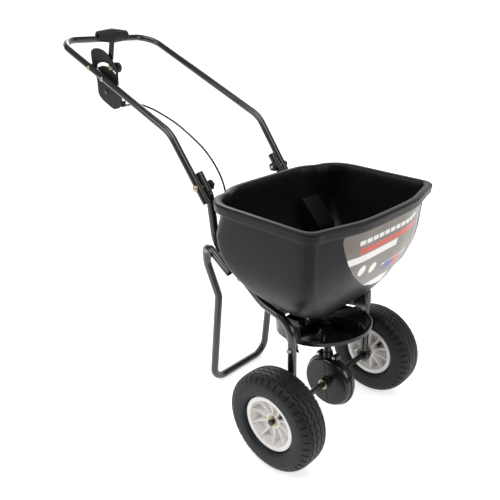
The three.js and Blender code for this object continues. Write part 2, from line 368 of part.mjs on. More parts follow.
// rear deflector around the spinner, its two ears screwed down on the brace
const arc = (r, a0, a1, n) => Array.from({ length: n + 1 }, (_, i) => [r * Math.cos((a0 + (a1 - a0) * i / n) * D), r * Math.sin((a0 + (a1 - a0) * i / n) * D)]);
let defl = plate([...arc(131, -22, 188, 15), ...arc(128.4, 188, -22, 15)], [], "xy", 168, 228).subtract(box(-7, 7, 110, 140, 203, 230));
for (const s of [-1, 1]) {
  defl = defl.subtract(box(Math.min(s * 100, s * 160), Math.max(s * 100, s * 160), -13.4, 13.4, 199.6, 203.4));
  defl = defl.add(sub(box(Math.min(s * 110, s * 130), Math.max(s * 110, s * 130), -9, 9, 203.4, 206), cyl(2.6, 190, 220, "z", [s * 118, 0, 0], 8)));
}
add("spinner_deflector", lean(defl), POLY, 0.5, 0);

// ---------------------------------------------------------------- speed control on the right handle leg
const P = [LEVER_Y, LEVER_Z], polar = (r, a) => [P[0] + r * Math.cos(a * D), P[1] + r * Math.sin(a * D)];
const slot = [...Array.from({ length: 8 }, (_, i) => polar(STOP_R - 4.6, 64 + i * 9.7)), ...Array.from({ length: 8 }, (_, i) => polar(STOP_R + 4.6, 131.9 - i * 9.7))];
const plateOutline = [[784, 934], [772, 943], [750, 946], [728, 944], [708, 936], [690, 925], [672, 908], [660, 893], [662, 851], [650, 815], [654, 799], [668, 790], [691, 784], [714, 792], [748, 806], [764, 820], [764, 860], [781, 893]];
let cplate = plate(plateOutline, [slot, ring(4.4, 10, ...P), ...PB.map(q => ring(3.3, 8, ...q))], "yz", -156.4, -153.9);
cplate = cplate.add(box(-155, -141, 654, 656.5, 795, 811)).subtract(cyl(3.4, 640, 670, "y", [-148, 0, 801.6], 8));
add("control_plate", cplate, BLACK, 0.35, 0.5);
PB.forEach(([y, z], i) => add("plate_bolt_" + (i + 1), cyl(3, -180, -151, "x", [0, y, z], 8).add(cyl(6.5, -182, -178.3, "x", [0, y, z], 10)).add(cyl(6.5, -153.6, -151, "x", [0, y, z], 6)), ZINC, 0.35, 0.8));
const LA = LEVER_A, side1 = (r, w) => [[polar(r, LA)[0] + w * Math.sin(LA * D), polar(r, LA)[1] - w * Math.cos(LA * D)], [polar(r, LA)[0] - w * Math.sin(LA * D), polar(r, LA)[1] + w * Math.cos(LA * D)]];
const [l0, l1] = side1(-34, 6), [m0, m1] = side1(0, 9), [n0, n1] = side1(40, 6.5), [j0, j1] = side1(85, 6.5), [k0, k1] = side1(98, 10), [t0, t1] = side1(158, 9.5);
add("control_lever", plate([l0, m0, n0, j0, k0, t0, t1, k1, j1, n1, m1, l1], [ring(4.4, 10, ...P), ring(2.2, 8, ...polar(-29, LA))], "yz", -150.4, -147.4), BLACK, 0.35, 0.5);
add("lever_pivot_bolt", cyl(4, -157.5, -142, "x", [0, ...P], 8).add(cyl(7.5, -160.6, -156.8, "x", [0, ...P], 10)).add(cyl(7, -146.9, -142.5, "x", [0, ...P], 6)), ZINC, 0.35, 0.8);
const gc = polar(156, LA);
let grip = turned([[0, -46], [12.5, -46], [14.5, -30], [19, 0], [14.5, 30], [12.5, 46], [0, 46]], "x", [-149, ...gc], 14);
grip = grip.subtract(cyl(8, -30, -46.5, "x", [-149, ...gc], 10)).subtract(cyl(8, 30, 46.5, "x", [-149, ...gc], 10));
const [s0, s1] = side1(120, 10.4), [e0, e1] = side1(158.6, 10.4);
grip = grip.subtract(plate([s0, e0, e1, s1], [], "yz", -151, -146.8));
add("lever_grip", grip, PLASTIC, 0.5, 0);
const sc = polar(STOP_R, STOP_A);
add("stop_bolt", cyl(4, -158, -126, "x", [0, ...sc], 8).add(cyl(7, -161, -156.8, "x", [0, ...sc], 6)), ZINC, 0.35, 0.8);
let sk = cyl(7, -153.6, -142, "x", [0, ...sc], 10).add(cyl(14, -142.5, -129, "x", [0, ...sc], 10));
add("stop_knob", sk.subtract(cyl(4.25, -160, -120, "x", [0, ...sc], 10)), PLASTIC, 0.5, 0);

// ---------------------------------------------------------------- control cable, lever to gate
const cableRoute = [[-148, 664, 801.6], [-148, 640, 801.6], [-147, 606, 808.5], [-146, 577, 810], [-144, 532, 804.5], [-142, 501, 797], [-138, 442, 778], [-133, 386, 750], [-129, 345, 724], [-125, 311, 690], [-121, 290, 655], [-117, 279, 615], [-111, 271, 570], [-103, 266, 515], [-91, 262, 460], [-70, 252, 405], [-40, 230, 355], [-12, 205, 326],
  leanPoint(0, 150, 210.6), leanPoint(0, 124, 210.6), leanPoint(0, 78, 210.6)];
const cableCurve = new THREE.CatmullRomCurve3(cableRoute.map(q => V(...q)), false, "centripetal");
const cableSection = new THREE.Shape(ring(2.6, 6).map(q => new THREE.Vector2(q[0], q[1])));
add("control_cable", toSolid(new THREE.ExtrudeGeometry(cableSection, { steps: 34, extrudePath: cableCurve, bevelEnabled: false })), PLASTIC, 0.5, 0);

// ---------------------------------------------------------------- origin to the middle of the footprint, on the floor
const all = new THREE.Box3();
for (const m of group.children) { m.geometry.computeBoundingBox(); all.union(m.geometry.boundingBox); }
const shift = V(-(all.min.x + all.max.x) / 2, -(all.min.y + all.max.y) / 2, -all.min.z);
for (const m of group.children) m.geometry.translate(shift.x, shift.y, shift.z);
export default group;
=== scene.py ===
import bpy, bmesh, math
import numpy as np
from mathutils import Vector, Matrix
from mathutils.geometry import tessellate_polygon


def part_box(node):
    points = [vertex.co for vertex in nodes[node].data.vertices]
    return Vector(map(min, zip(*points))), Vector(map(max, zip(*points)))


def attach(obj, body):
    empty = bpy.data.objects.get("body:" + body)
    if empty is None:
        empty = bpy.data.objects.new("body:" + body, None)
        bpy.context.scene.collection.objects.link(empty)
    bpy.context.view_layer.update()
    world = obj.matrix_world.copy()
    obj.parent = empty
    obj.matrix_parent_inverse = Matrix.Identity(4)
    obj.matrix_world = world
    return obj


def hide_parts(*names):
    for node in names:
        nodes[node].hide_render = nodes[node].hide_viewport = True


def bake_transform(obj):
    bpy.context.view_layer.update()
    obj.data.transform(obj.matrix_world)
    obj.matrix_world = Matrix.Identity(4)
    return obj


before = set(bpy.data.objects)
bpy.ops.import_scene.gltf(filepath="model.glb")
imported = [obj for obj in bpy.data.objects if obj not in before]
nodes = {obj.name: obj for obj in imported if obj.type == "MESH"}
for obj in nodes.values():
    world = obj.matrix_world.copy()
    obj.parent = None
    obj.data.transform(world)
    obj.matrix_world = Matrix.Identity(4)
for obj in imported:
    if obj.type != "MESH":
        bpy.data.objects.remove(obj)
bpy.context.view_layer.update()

_a, _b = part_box("axle")
AX = [(_a[i] + _b[i]) / 2 for i in range(3)]                 # axle centre, metres
SH = np.array([0.0, AX[1] * 1000.0, AX[2] * 1000.0 - 130.0])  # model mm (axle over origin) -> row mm
D = math.pi / 180
TILT = 9.5
CT, ST = math.cos(TILT * D), math.sin(TILT * D)

# ------------------------------------------------------------------ camera
def set_camera():
    yaw, pitch, roll = 43.0041 * D, 23.636 * D, 0.641 * D
    fw = Vector((math.cos(yaw + 0) * math.cos(pitch), math.sin(yaw) * math.cos(pitch), -math.sin(pitch)))
    rt = Vector((fw.y, -fw.x, 0)).normalized()
    up = rt.cross(fw)
    rt2 = rt * math.cos(roll) + up * math.sin(roll)
    up2 = -rt * math.sin(roll) + up * math.cos(roll)
    cam = bpy.data.cameras.new("camera")
    cam.sensor_width = 36.0
    cam.lens = 570.585 / 500 * 36.0
    cam.clip_start, cam.clip_end = 0.05, 60
    o = bpy.data.objects.new("camera", cam)
    bpy.context.scene.collection.objects.link(o)
    C = (np.array([-1090.3, -713.2, 1071.9]) + SH) / 1000
    m = Matrix((( rt2.x, up2.x, -fw.x, C[0]), (rt2.y, up2.y, -fw.y, C[1]), (rt2.z, up2.z, -fw.z, C[2]), (0, 0, 0, 1)))
    o.matrix_world = m
    bpy.context.scene.camera = o
set_camera()

# ------------------------------------------------------------------ materials
def nt_new(name):
    m = bpy.data.materials.new(name)
    m.use_nodes = True
    nt = m.node_tree
    bs = nt.nodes["Principled BSDF"]
    return m, nt, bs
def coords(nt):
    return nt.nodes.new("ShaderNodeTexCoord").outputs["Object"]
def noise(nt, co, scale, detail=4.0, rough=0.55, dist=0.0):
    n = nt.nodes.new("ShaderNodeTexNoise")
    n.inputs["Scale"].default_value = scale
    n.inputs["Detail"].default_value = detail
    n.inputs["Roughness"].default_value = rough
    n.inputs["Distortion"].default_value = dist
    nt.links.new(co, n.inputs["Vector"])
    return n.outputs["Fac"]
def ramp(nt, fac, stops):
    r = nt.nodes.new("ShaderNodeValToRGB")
    el = r.color_ramp.elements
    while len(el) < len(stops): el.new(0.5)
    for e, (p, c) in zip(el, stops):
        e.position = p
        e.color = (c, c, c, 1) if isinstance(c, (int, float)) else (*c, 1)
    nt.links.new(fac, r.inputs["Fac"])
    return r.outputs["Color"]
def maprange(nt, v, a, b, c, d):
    n = nt.nodes.new("ShaderNodeMapRange")
    n.inputs["From Min"].default_value, n.inputs["From Max"].default_value = a, b
    n.inputs["To Min"].default_value, n.inputs["To Max"].default_value = c, d
    nt.links.new(v, n.inputs["Value"])
    return n.outputs["Result"]
def mixc(nt, fac, a, b, blend="MIX"):
    n = nt.nodes.new("ShaderNodeMix")
    n.data_type = "RGBA"
    n.blend_type = blend
    n.clamp_factor = True
    for sock, val in ((n.inputs[0], fac), (n.inputs[6], a), (n.inputs[7], b)):
        if hasattr(val, "node"): nt.links.new(val, sock)
        elif isinstance(val, (int, float)): sock.default_value = val
        else: sock.default_value = (*val, 1)
    return n.outputs[2]
def math2(nt, op, a, b=None, c=None, clamp=False):
    n = nt.nodes.new("ShaderNodeMath")
    n.operation = op
    n.use_clamp = clamp
    for i, v in enumerate((a, b, c)):
        if v is None: continue
        if hasattr(v, "node"): nt.links.new(v, n.inputs[i])
        else: n.inputs[i].default_value = v
    return n.outputs[0]
def bump(nt, bs, height, strength, dist, prev=None):
    b = nt.nodes.new("ShaderNodeBump")
    b.inputs["Strength"].default_value = strength
    b.inputs["Distance"].default_value = dist
    nt.links.new(height, b.inputs["Height"])
    if prev is not None: nt.links.new(prev, b.inputs["Normal"])
    nt.links.new(b.outputs["Normal"], bs.inputs["Normal"])
    return b.outputs["Normal"]

def surface(name, c1, c2, rough=(0.4, 0.5), metal=0.0, spec=0.5, var=18.0, grain=900.0, gs=0.06, gd=0.0004,
            swell=0.0, coat=0.0, coat_r=0.1, dust=None, dust_amt=0.0, dust_scale=30.0, scratch=0.0, sheen=0.0):
    m, nt, bs = nt_new(name)
    co = coords(nt)
    big = noise(nt, co, var, 5, 0.6)
    fine = noise(nt, co, grain, 3, 0.6)
    col = mixc(nt, ramp(nt, big, [(0.32, 0.0), (0.68, 1.0)]), c1, c2)
    if dust:
        d = noise(nt, co, dust_scale, 8, 0.7, 0.3)
        f = ramp(nt, d, [(0.5, 0.0), (0.75, dust_amt)])
        col = mixc(nt, f, col, dust)
    nt.links.new(col, bs.inputs["Base Color"])
    mid = noise(nt, co, var * 6, 6, 0.65)
    r = maprange(nt, mid, 0.3, 0.7, rough[0], rough[1])
    if scratch:
        mp = nt.nodes.new("ShaderNodeMapping")
        mp.inputs["Scale"].default_value = (1.0, 9.0, 9.0)
        nt.links.new(co, mp.inputs["Vector"])
        s = noise(nt, mp.outputs["Vector"], 160, 2, 0.5)
        r = math2(nt, "ADD", r, maprange(nt, s, 0.55, 0.8, 0.0, scratch))
    nt.links.new(r, bs.inputs["Roughness"])
    bs.inputs["Metallic"].default_value = metal
    bs.inputs["Specular IOR Level"].default_value = spec
    if coat:
        bs.inputs["Coat Weight"].default_value = coat
        bs.inputs["Coat Roughness"].default_value = coat_r
    if sheen: bs.inputs["Sheen Weight"].default_value = sheen
    n = bump(nt, bs, fine, gs, gd)
    if swell: bump(nt, bs, noise(nt, co, 14.0, 2, 0.4), swell, 0.004, n)
    return m

M = {}
M["poly"] = surface("poly_black", (0.0034, 0.0036, 0.0048), (0.0048, 0.0050, 0.0064), rough=(0.32, 0.42), spec=0.19, var=9, grain=1300, gs=0.10, gd=0.0003, swell=0.03,
                    dust=(0.04, 0.04, 0.042), dust_amt=0.03, dust_scale=22)
M["tube"] = surface("tube_gloss_black", (0.0052, 0.0052, 0.0056), (0.0075, 0.0075, 0.008), rough=(0.15, 0.24), spec=0.6, var=24, grain=420, gs=0.05, gd=0.0003, coat=0.35, coat_r=0.08)
M["plastic"] = surface("plastic_black", (0.0055, 0.0055, 0.006), (0.0085, 0.0085, 0.009), rough=(0.38, 0.52), spec=0.3, var=30, grain=1600, gs=0.12, gd=0.0003, dust=(0.06, 0.06, 0.06), dust_amt=0.06)
M["gloss"] = surface("plastic_gloss", (0.0050, 0.0050, 0.0056), (0.0072, 0.0072, 0.0080), rough=(0.14, 0.22), spec=0.45, var=22, grain=700, gs=0.02, gd=0.0002)
# deflector is black glossy plastic; its base colour is lifted to dark grey as painted sheen, standing in for the
# bright reflection on its inner face
M["shroud"] = surface("black_shroud_painted_sheen", (0.034, 0.0335, 0.034), (0.048, 0.047, 0.048), rough=(0.18, 0.28), spec=0.5, var=16, grain=1000, gs=0.08, gd=0.0003)
M["cable"] = surface("cable_sleeve", (0.0065, 0.0065, 0.007), (0.009, 0.009, 0.0095), rough=(0.35, 0.45), spec=0.45, var=60, grain=1500, gs=0.1, gd=0.0002)
M["rim"] = surface("rim_white", (0.78, 0.755, 0.73), (0.84, 0.815, 0.79), rough=(0.34, 0.46), spec=0.5, var=16, grain=700, gs=0.06, gd=0.0004, dust=(0.40, 0.36, 0.32), dust_amt=0.16, dust_scale=45)
M["zinc"] = surface("zinc_yellow", (0.44, 0.40, 0.27), (0.42, 0.34, 0.24), rough=(0.22, 0.36), metal=1.0, var=70, grain=900, gs=0.08, gd=0.0003, scratch=0.12)
M["steel"] = surface("steel_bright", (0.42, 0.42, 0.43), (0.52, 0.52, 0.53), rough=(0.24, 0.38), metal=1.0, var=60, grain=900, gs=0.08, gd=0.0003, scratch=0.15)
M["dark"] = surface("steel_dark", (0.055, 0.055, 0.058), (0.09, 0.088, 0.088), rough=(0.26, 0.40), metal=1.0, var=50, grain=700, gs=0.08, gd=0.0003, scratch=0.15)
M["gear"] = surface("gear_nylon", (0.42, 0.40, 0.35), (0.50, 0.48, 0.43), rough=(0.35, 0.5), spec=0.5, var=30, grain=900)

def rubber():
    m, nt, bs = nt_new("tyre_rubber")
    co = coords(nt)
    big = noise(nt, co, 26, 6, 0.65)
    col = mixc(nt, ramp(nt, big, [(0.35, 0.0), (0.7, 1.0)]), (0.0048, 0.0055, 0.0066), (0.0080, 0.0090, 0.0106))
    d = noise(nt, co, 60, 8, 0.75, 0.4)
    col = mixc(nt, ramp(nt, d, [(0.52, 0.0), (0.78, 0.10)]), col, (0.07, 0.066, 0.062))
    nt.links.new(col, bs.inputs["Base Color"])
    nt.links.new(maprange(nt, noise(nt, co, 140, 5, 0.6), 0.3, 0.7, 0.42, 0.60), bs.inputs["Roughness"])
    bs.inputs["Specular IOR Level"].default_value = 0.30
    n = bump(nt, bs, noise(nt, co, 1100, 3, 0.6), 0.14, 0.0004)
    bump(nt, bs, noise(nt, co, 120, 3, 0.5), 0.06, 0.0012, n)
    return m
M["tyre"] = rubber()
M["lab_base"] = surface("label_brown", (0.155, 0.130, 0.108), (0.215, 0.185, 0.155), rough=(0.30, 0.42), spec=0.4, var=9, grain=900, gs=0.03, gd=0.0002)
M["lab_red"] = surface("label_red", (0.52, 0.055, 0.040), (0.60, 0.085, 0.060), rough=(0.30, 0.42), spec=0.4, var=14, grain=900, gs=0.03, gd=0.0002)
M["lab_white"] = surface("label_white", (0.72, 0.71, 0.69), (0.80, 0.79, 0.77), rough=(0.30, 0.42), spec=0.4, var=14, grain=900, gs=0.03, gd=0.0002)
M["lab_grey"] = surface("label_grey", (0.17, 0.17, 0.18), (0.23, 0.23, 0.24), rough=(0.30, 0.42), spec=0.4, var=14, grain=900, gs=0.03, gd=0.0002)
M["lab_blue"] = surface("label_blue", (0.05, 0.09, 0.26), (0.07, 0.12, 0.32), rough=(0.30, 0.42), spec=0.4, var=14, grain=900, gs=0.03, gd=0.0002)
M["lab_silver"] = surface("label_silver", (0.46, 0.46, 0.47), (0.54, 0.54, 0.55), rough=(0.22, 0.34), spec=0.5, metal=0.4, var=14, grain=900, gs=0.03, gd=0.0002)

# ------------------------------------------------------------------ mesh building, all in model mm
class Build:
    def __init__(self): self.v, self.f, self.m = [], [], []
    def add(self, verts, faces, mat=0):
        o = len(self.v)
        self.v.extend([tuple(map(float, p)) for p in verts])
        self.f.extend([tuple(i + o for i in f) for f in faces])
        self.m.extend([mat] * len(faces))
        return self
def leanP(p):
    x, y, h = p
    return (x, y * CT + h * ST, 130 - y * ST + h * CT)
def frame_of(axis):
    a = Vector(axis).normalized()
    u = Vector((0, 0, 1)) if abs(a.z) < 0.9 else Vector((0, 1, 0))
    u = (u - a * u.dot(a)).normalized()
    return a, u, a.cross(u)
# profile of (radius, along) turned about an axis; ends off the axis are closed to each other when closed
def lathe(b, prof, origin, axis, seg=64, closed=True, mat=0, turn=0.0, xf=None):
    a, u, w = frame_of(axis)
    o = Vector(origin)
    verts, idx = [], []
    for r, t in prof:
        if r < 1e-6:
            idx.append([len(verts)] * seg); verts.append(o + a * t)
        else:
            row = []
            for k in range(seg):
                th = 2 * math.pi * k / seg + turn
                row.append(len(verts)); verts.append(o + a * t + (u * math.cos(th) + w * math.sin(th)) * r)
            idx.append(row)
    faces = []
    n = len(prof)
    ends_on_axis = prof[0][0] < 1e-6 and prof[-1][0] < 1e-6
    for i in range(n if (closed and not ends_on_axis) else n - 1):
        p, q = idx[i], idx[(i + 1) % n]
        for k in range(seg):
            k2 = (k + 1) % seg
            f = []
            for x in (p[k], p[k2], q[k2], q[k]):
                if x not in f: f.append(x)
            if len(f) > 2: faces.append(f)
    if xf: verts = [xf(v) for v in verts]
    b.add(verts, faces, mat)
# rounded corner profile: list of (r, t, radius)
def soft(prof, rad=0.8, k=3, closed=True):
    out, n = [], len(prof)
    for i, q in enumerate(prof):
        p0, p1, p2 = Vector(prof[i - 1][:2]), Vector(q[:2]), Vector(prof[(i + 1) % n][:2])
        R = q[2] if len(q) > 2 else rad
        if q[0] < 1e-6 or (not closed and i in (0, n - 1)): out.append((p1.x, p1.y)); continue
        d0, d2 = (p0 - p1), (p2 - p1)
        if d0.length < 1e-6 or d2.length < 1e-6: out.append((p1.x, p1.y)); continue
        L = min(R, d0.length * 0.45, d2.length * 0.45)
        A, B = p1 + d0.normalized() * L, p1 + d2.normalized() * L
        for j in range(k + 1):
            t = j / k
            z = A * (1 - t) ** 2 + p1 * 2 * t * (1 - t) + B * t * t
            out.append((z.x, z.y))
    return out
def tube(b, pts, r, seg=32, mat=0, cap=True, hollow=0.0, rfun=None):
    P = [Vector(p) for p in pts]
    T = []
    for i in range(len(P)):
        d = P[min(i + 1, len(P) - 1)] - P[max(i - 1, 0)]
        T.append(d.normalized())
    a, u, w = frame_of(T[0])
    verts, rows = [], []
    for i, (p, t) in enumerate(zip(P, T)):
        if i:
            ax = T[i - 1].cross(t)
            if ax.length > 1e-9:
                q = Matrix.Rotation(T[i - 1].angle(t), 3, ax.normalized())
                u = q @ u
            u = (u - t * u.dot(t)).normalized()
        w = t.cross(u)
        rr = rfun(i) if rfun else r
        row = []
        for k in range(seg):
            th = 2 * math.pi * k / seg
            row.append(len(verts)); verts.append(p + (u * math.cos(th) + w * math.sin(th)) * rr)
        rows.append((row, p, u.copy(), w.copy(), t))
    faces = []
    for i in range(len(P) - 1):
        p, q = rows[i][0], rows[i + 1][0]
        for k in range(seg): faces.append((p[k], p[(k + 1) % seg], q[(k + 1) % seg], q[k]))
    for end, sgn in ((0, -1), (-1, 1)):
        row, p, u, w, t = rows[end]
        prev = row
        steps = [(r - 0.4, 0.25)] if cap else []
        if hollow: steps += [(hollow, 0.25), (hollow, -9.0)]
        for rr, dz in steps:
            new = []
            for k in range(seg):
                th = 2 * math.pi * k / seg
                new.append(len(verts)); verts.append(p + t * (sgn * dz) + (u * math.cos(th) + w * math.sin(th)) * rr)
            for k in range(seg):
                f = (prev[k], prev[(k + 1) % seg], new[(k + 1) % seg], new[k])
                faces.append(f if sgn > 0 else f[::-1])
            prev = new
        faces.append(tuple(prev) if sgn > 0 else tuple(prev[::-1]))
    b.add(verts, faces, mat)
# corner points joined by arcs
def route(pts, radii, step=4.0):
    P = [Vector(p) for p in pts]
    out = [P[0]]
    for i in range(1, len(P) - 1):
        u, w = (P[i] - P[i - 1]).normalized(), (P[i + 1] - P[i]).normalized()
        ang = u.angle(w)
        R = radii[i - 1]
        t = R * math.tan(ang / 2)
        A = P[i] - u * t
        nrm = (w - u * w.dot(u)).normalized()
        c = A + nrm * R
        k = max(3, int(R * ang / step))
        for j in range(k + 1):
            a = ang * j / k
            out.append(c - nrm * R * math.cos(a) + u * R * math.sin(a))
    out.append(P[-1])
    fine = [out[0]]
    for p in out[1:]:
        d = (p - fine[-1]).length
        n = max(1, int(d / 40))
        q = fine[-1].copy()
        for j in range(1, n + 1): fine.append(q + (p - q) * j / n)
    return fine
AXES = {"yz": lambda u, v, t: (t, u, v), "xy": lambda u, v, t: (u, v, t), "xz": lambda u, v, t: (u, t, v)}
def plate(b, outline, holes, plane, a, c, mat=0, xf=None):
    loops = [[Vector((p[0], p[1], 0)) for p in outline]] + [[Vector((p[0], p[1], 0)) for p in h] for h in holes]
    tris = tessellate_polygon(loops)
    flat = [p for l in loops for p in l]
    place = AXES[plane]
    verts = [place(p.x, p.y, a) for p in flat] + [place(p.x, p.y, c) for p in flat]
    n = len(flat)
    faces = [tuple(t) for t in tris] + [tuple(i + n for i in reversed(t)) for t in tris]
    o = 0
    for l in loops:
        m = len(l)
        for k in range(m):
            i, j = o + k, o + (k + 1) % m
            faces.append((i, j, j + n, i + n))
        o += m
    if xf: verts = [xf(v) for v in verts]
    b.add(verts, faces, mat)
def ring(r, n, cx=0, cy=0): return [(cx + r * math.cos(2 * math.pi * i / n), cy + r * math.sin(2 * math.pi * i / n)) for i in range(n)]
def rounded(pts, rad, k=4):
    out, n = [], len(pts)
    for i in range(n):
        p0, p1, p2 = Vector(pts[i - 1]), Vector(pts[i]), Vector(pts[(i + 1) % n])
        d0, d2 = p0 - p1, p2 - p1
        L = min(rad, d0.length * 0.45, d2.length * 0.45)
        A, B = p1 + d0.normalized() * L, p1 + d2.normalized() * L
        for j in range(k + 1):
            t = j / k
            z = A * (1 - t) ** 2 + p1 * 2 * t * (1 - t) + B * t * t
            out.append((z.x, z.y))
    return out
def boxm(b, x0, x1, y0, y1, z0, z1, mat=0, xf=None):
    v = [(x, y, z) for x in (x0, x1) for y in (y0, y1) for z in (z0, z1)]
    if xf: v = [xf(p) for p in v]
    b.add(v, [(0, 1, 3, 2), (4, 6, 7, 5), (0, 4, 5, 1), (2, 3, 7, 6), (0, 2, 6, 4), (1, 5, 7, 3)], mat)

def make(name, b, mats, body, reps, bevel=0.0, angle=35, seg=2, extra=None, blend=None):
    me = bpy.data.meshes.new(name)
    v = (np.array(b.v) + SH) / 1000.0
    me.from_pydata([tuple(p) for p in v], [], b.f)
    for m in ([mats] if isinstance(mats, str) else mats): me.materials.append(M[m])
    me.polygons.foreach_set("material_index", b.m)
    me.update()
    bm = bmesh.new(); bm.from_mesh(me)
    bmesh.ops.recalc_face_normals(bm, faces=bm.faces)
    bm.to_mesh(me); bm.free()
    me.polygons.foreach_set("use_smooth", [True] * len(me.polygons))
    me.set_sharp_from_angle(angle=angle * D)
    o = bpy.data.objects.new(name, me)
    bpy.context.scene.collection.objects.link(o)
    if bevel:
        mod = o.modifiers.new("edges", "BEVEL")
        mod.width = bevel / 1000.0; mod.segments = seg
        mod.limit_method = "ANGLE"; mod.angle_limit = angle * D
        mod.harden_normals = True
        mod.use_clamp_overlap = True
    if blend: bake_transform(o)
    else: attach(o, body)
    if reps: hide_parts(*reps)
    return o
def keep(node, mat, bevel=0.35):
    o = nodes[node]
    o.data.materials.clear() if False else None
    for i in range(max(1, len(o.material_slots))):
        if not o.material_slots: o.data.materials.append(M[mat])
        o.material_slots[i].link = "OBJECT"
        o.material_slots[i].material = M[mat]
    if bevel:
        mod = o.modifiers.new("edges", "BEVEL")
        mod.width = bevel / 1000.0; mod.segments = 2
        mod.limit_method = "ANGLE"; mod.angle_limit = 40 * D
        mod.use_clamp_overlap = True

# ------------------------------------------------------------------ hopper
HZ = [345, 356, 372, 395, 422, 455, 495, 545, 627]
HW = [62, 92, 130, 167, 194, 217, 232, 238, 243]
HF = [6, -9, -31, -49, -63, -75, -83, -88, -90]
HR = [66, 74, 90, 112, 138, 167, 189, 202, 208]
def hermite(xs, ys, x):
    xs, ys = list(xs), list(ys)
    if x <= xs[0]: return ys[0] + (x - xs[0]) * (ys[1] - ys[0]) / (xs[1] - xs[0])
    if x >= xs[-1]: return ys[-1] + (x - xs[-1]) * (ys[-1] - ys[-2]) / (xs[-1] - xs[-2])
    i = max(j for j in range(len(xs) - 1) if xs[j] <= x)
    def slope(j):
        if j == 0: return (ys[1] - ys[0]) / (xs[1] - xs[0])
        if j == len(xs) - 1: return (ys[-1] - ys[-2]) / (xs[-1] - xs[-2])
        a, b = (ys[j] - ys[j - 1]) / (xs[j] - xs[j - 1]), (ys[j + 1] - ys[j]) / (xs[j + 1] - xs[j])
        return 0 if a * b <= 0 else 2 * a * b / (a + b)
    h = xs[i + 1] - xs[i]; t = (x - xs[i]) / h
    return (2 * t**3 - 3 * t**2 + 1) * ys[i] + (t**3 - 2 * t**2 + t) * h * slope(i) + (-2 * t**3 + 3 * t**2) * ys[i + 1] + (t**3 - t**2) * h * slope(i + 1)
def loop_pts(w, yf, yr, rf, bf, br, k=4, n=5, rb=None):
    ctl = []
    rb = rf if rb is None else rb
    for cx, cy, a0, r in ((-w + rf, yf + rf, 180, rf), (w - rf, yf + rf, 270, rf), (w - rb, yr - rb, 0, rb), (-w + rb, yr - rb, 90, rb)):
        for i in range(k + 1):
            a = (a0 + 90 * i / k) * D
            ctl.append((cx + r * math.cos(a), cy + r * math.sin(a)))
        if a0 == 180:
            for f, g in ((-0.70, 0.50), (-0.42, 0.93), (0, 1.03), (0.42, 0.93), (0.70, 0.50)): 
                x = f * w
                if abs(f) > 0.6: x = math.copysign(min(0.70 * w, (w - r) * 0.5 + 0.42 * w * 0.5), f)
                ctl.append((x, yf - bf * g))
        if a0 == 270:
            ctl += [(w, yf + rf + (yr - yf - rf - rb) * t) for t in (0.33, 0.66)]
        if a0 == 0:
            for f, g in ((0.72, 0.55), (0.5, 0.92), (0, 1.02), (-0.5, 0.92), (-0.72, 0.55)):
                x = f * w
                if abs(f) > 0.6: x = math.copysign(min(0.72 * w, (w - r) * 0.5 + 0.5 * w * 0.5), f)
                ctl.append((x, yr + br * g))
        if a0 == 90:
            ctl += [(-w, yr - rb - (yr - yf - rf - rb) * t) for t in (0.33, 0.66)]
    out, m = [], len(ctl)
    for i in range(m):
        p0, p1, p2, p3 = (Vector(ctl[(i + j) % m]) for j in (-1, 0, 1, 2))
        def ta(a, b): return max(1e-4, (b - a).length ** 0.5)
        d1, d2, d3 = ta(p0, p1), ta(p1, p2), ta(p2, p3)
        m1 = (p1 - p0) / d1 - (p2 - p0) / (d1 + d2) + (p2 - p1) / d2
        m2 = (p2 - p1) / d2 - (p3 - p1) / (d2 + d3) + (p3 - p2) / d3
        m1 *= d2; m2 *= d2
        for j in range(n):
            t = j / n
            q = p1 * (2 * t**3 - 3 * t**2 + 1) + m1 * (t**3 - 2 * t**2 + t) + p2 * (-2 * t**3 + 3 * t**2) + m2 * (t**3 - t**2)
            out.append((q.x, q.y))
    return out
def hop_dims(z):
    return hermite(HZ, HW, z), hermite(HZ, HF, z), hermite(HZ, HR, z)
def hop_section(z, inset=0.0):
    w, yf, yr = hop_dims(z)
    g = max(0, min(1, (z - 380) / 200)); g = g * g * (3 - 2 * g) * 0.5 + g * 0.5
    r = 26 + 44 * max(0, min(1, (520 - z) / 120))
    rr = max(8, min(r, w - 6, (yr - yf) / 2 - 2) - inset * 0.6)
    rb = max(8, min(r + 42 * max(0, min(1, (z - 565) / 62)), w - 6, (yr - yf) / 2 - 2) - inset * 0.6)
    return loop_pts(w - inset, yf + inset, yr - inset, rr, 30 * g, 24 * g, rb=rb)
def rim_section(o): return loop_pts(243 + o, -90 - o, 208 + o, 26 + o * 0.6, 30, 24, rb=68 + o * 0.6)
def h_of(p): return p[1] * ST + (p[2] - 130) * CT
def clip(p, h):
    d = h - h_of(p)
    return p if d <= 0 else (p[0], p[1], p[2] + d / CT)
rows = []
zs = [346, 350, 356, 363, 371, 380, 390, 401, 413, 426, 440, 455, 472, 492, 515, 540, 565, 590, 612, 622]
for z in zs: rows.append([clip((x, y, z), 222) for x, y in hop_section(z)])
for z, o in ((625.2, 0.3), (626.3, 1.2), (626.9, 3.0), (627.2, 6), (627.4, 10.5), (628.2, 12.9), (630.0, 13.8), (636, 14.4), (643, 15.2), (647.6, 15.8), (650.2, 15.0), (651.6, 13.2), (652.2, 10.5), (652.4, 6), (652.0, 2.5), (650.6, 0.2), (648.4, -1.2), (645, -2.2), (638, -3.4), (630, -4.2)):
    rows.append([(x, y, z) for x, y in rim_section(o)])
for z in reversed([352, 358, 366, 376, 388, 401, 415, 430, 446, 462, 482, 505, 532, 560, 590, 618]):
    rows.append([clip((x, y, z + 1), 226) for x, y in hop_section(z, 4.2)])
b = Build()
n = len(rows[0])
verts = [p for r in rows for p in r]
faces = [(i * n + j, i * n + (j + 1) % n, (i + 1) * n + (j + 1) % n, (i + 1) * n + j) for i in range(len(rows) - 1) for j in range(n)]
faces.append(tuple(range(n))[::-1])
faces.append(tuple((len(rows) - 1) * n + j for j in range(n)))
b.add(verts, faces)
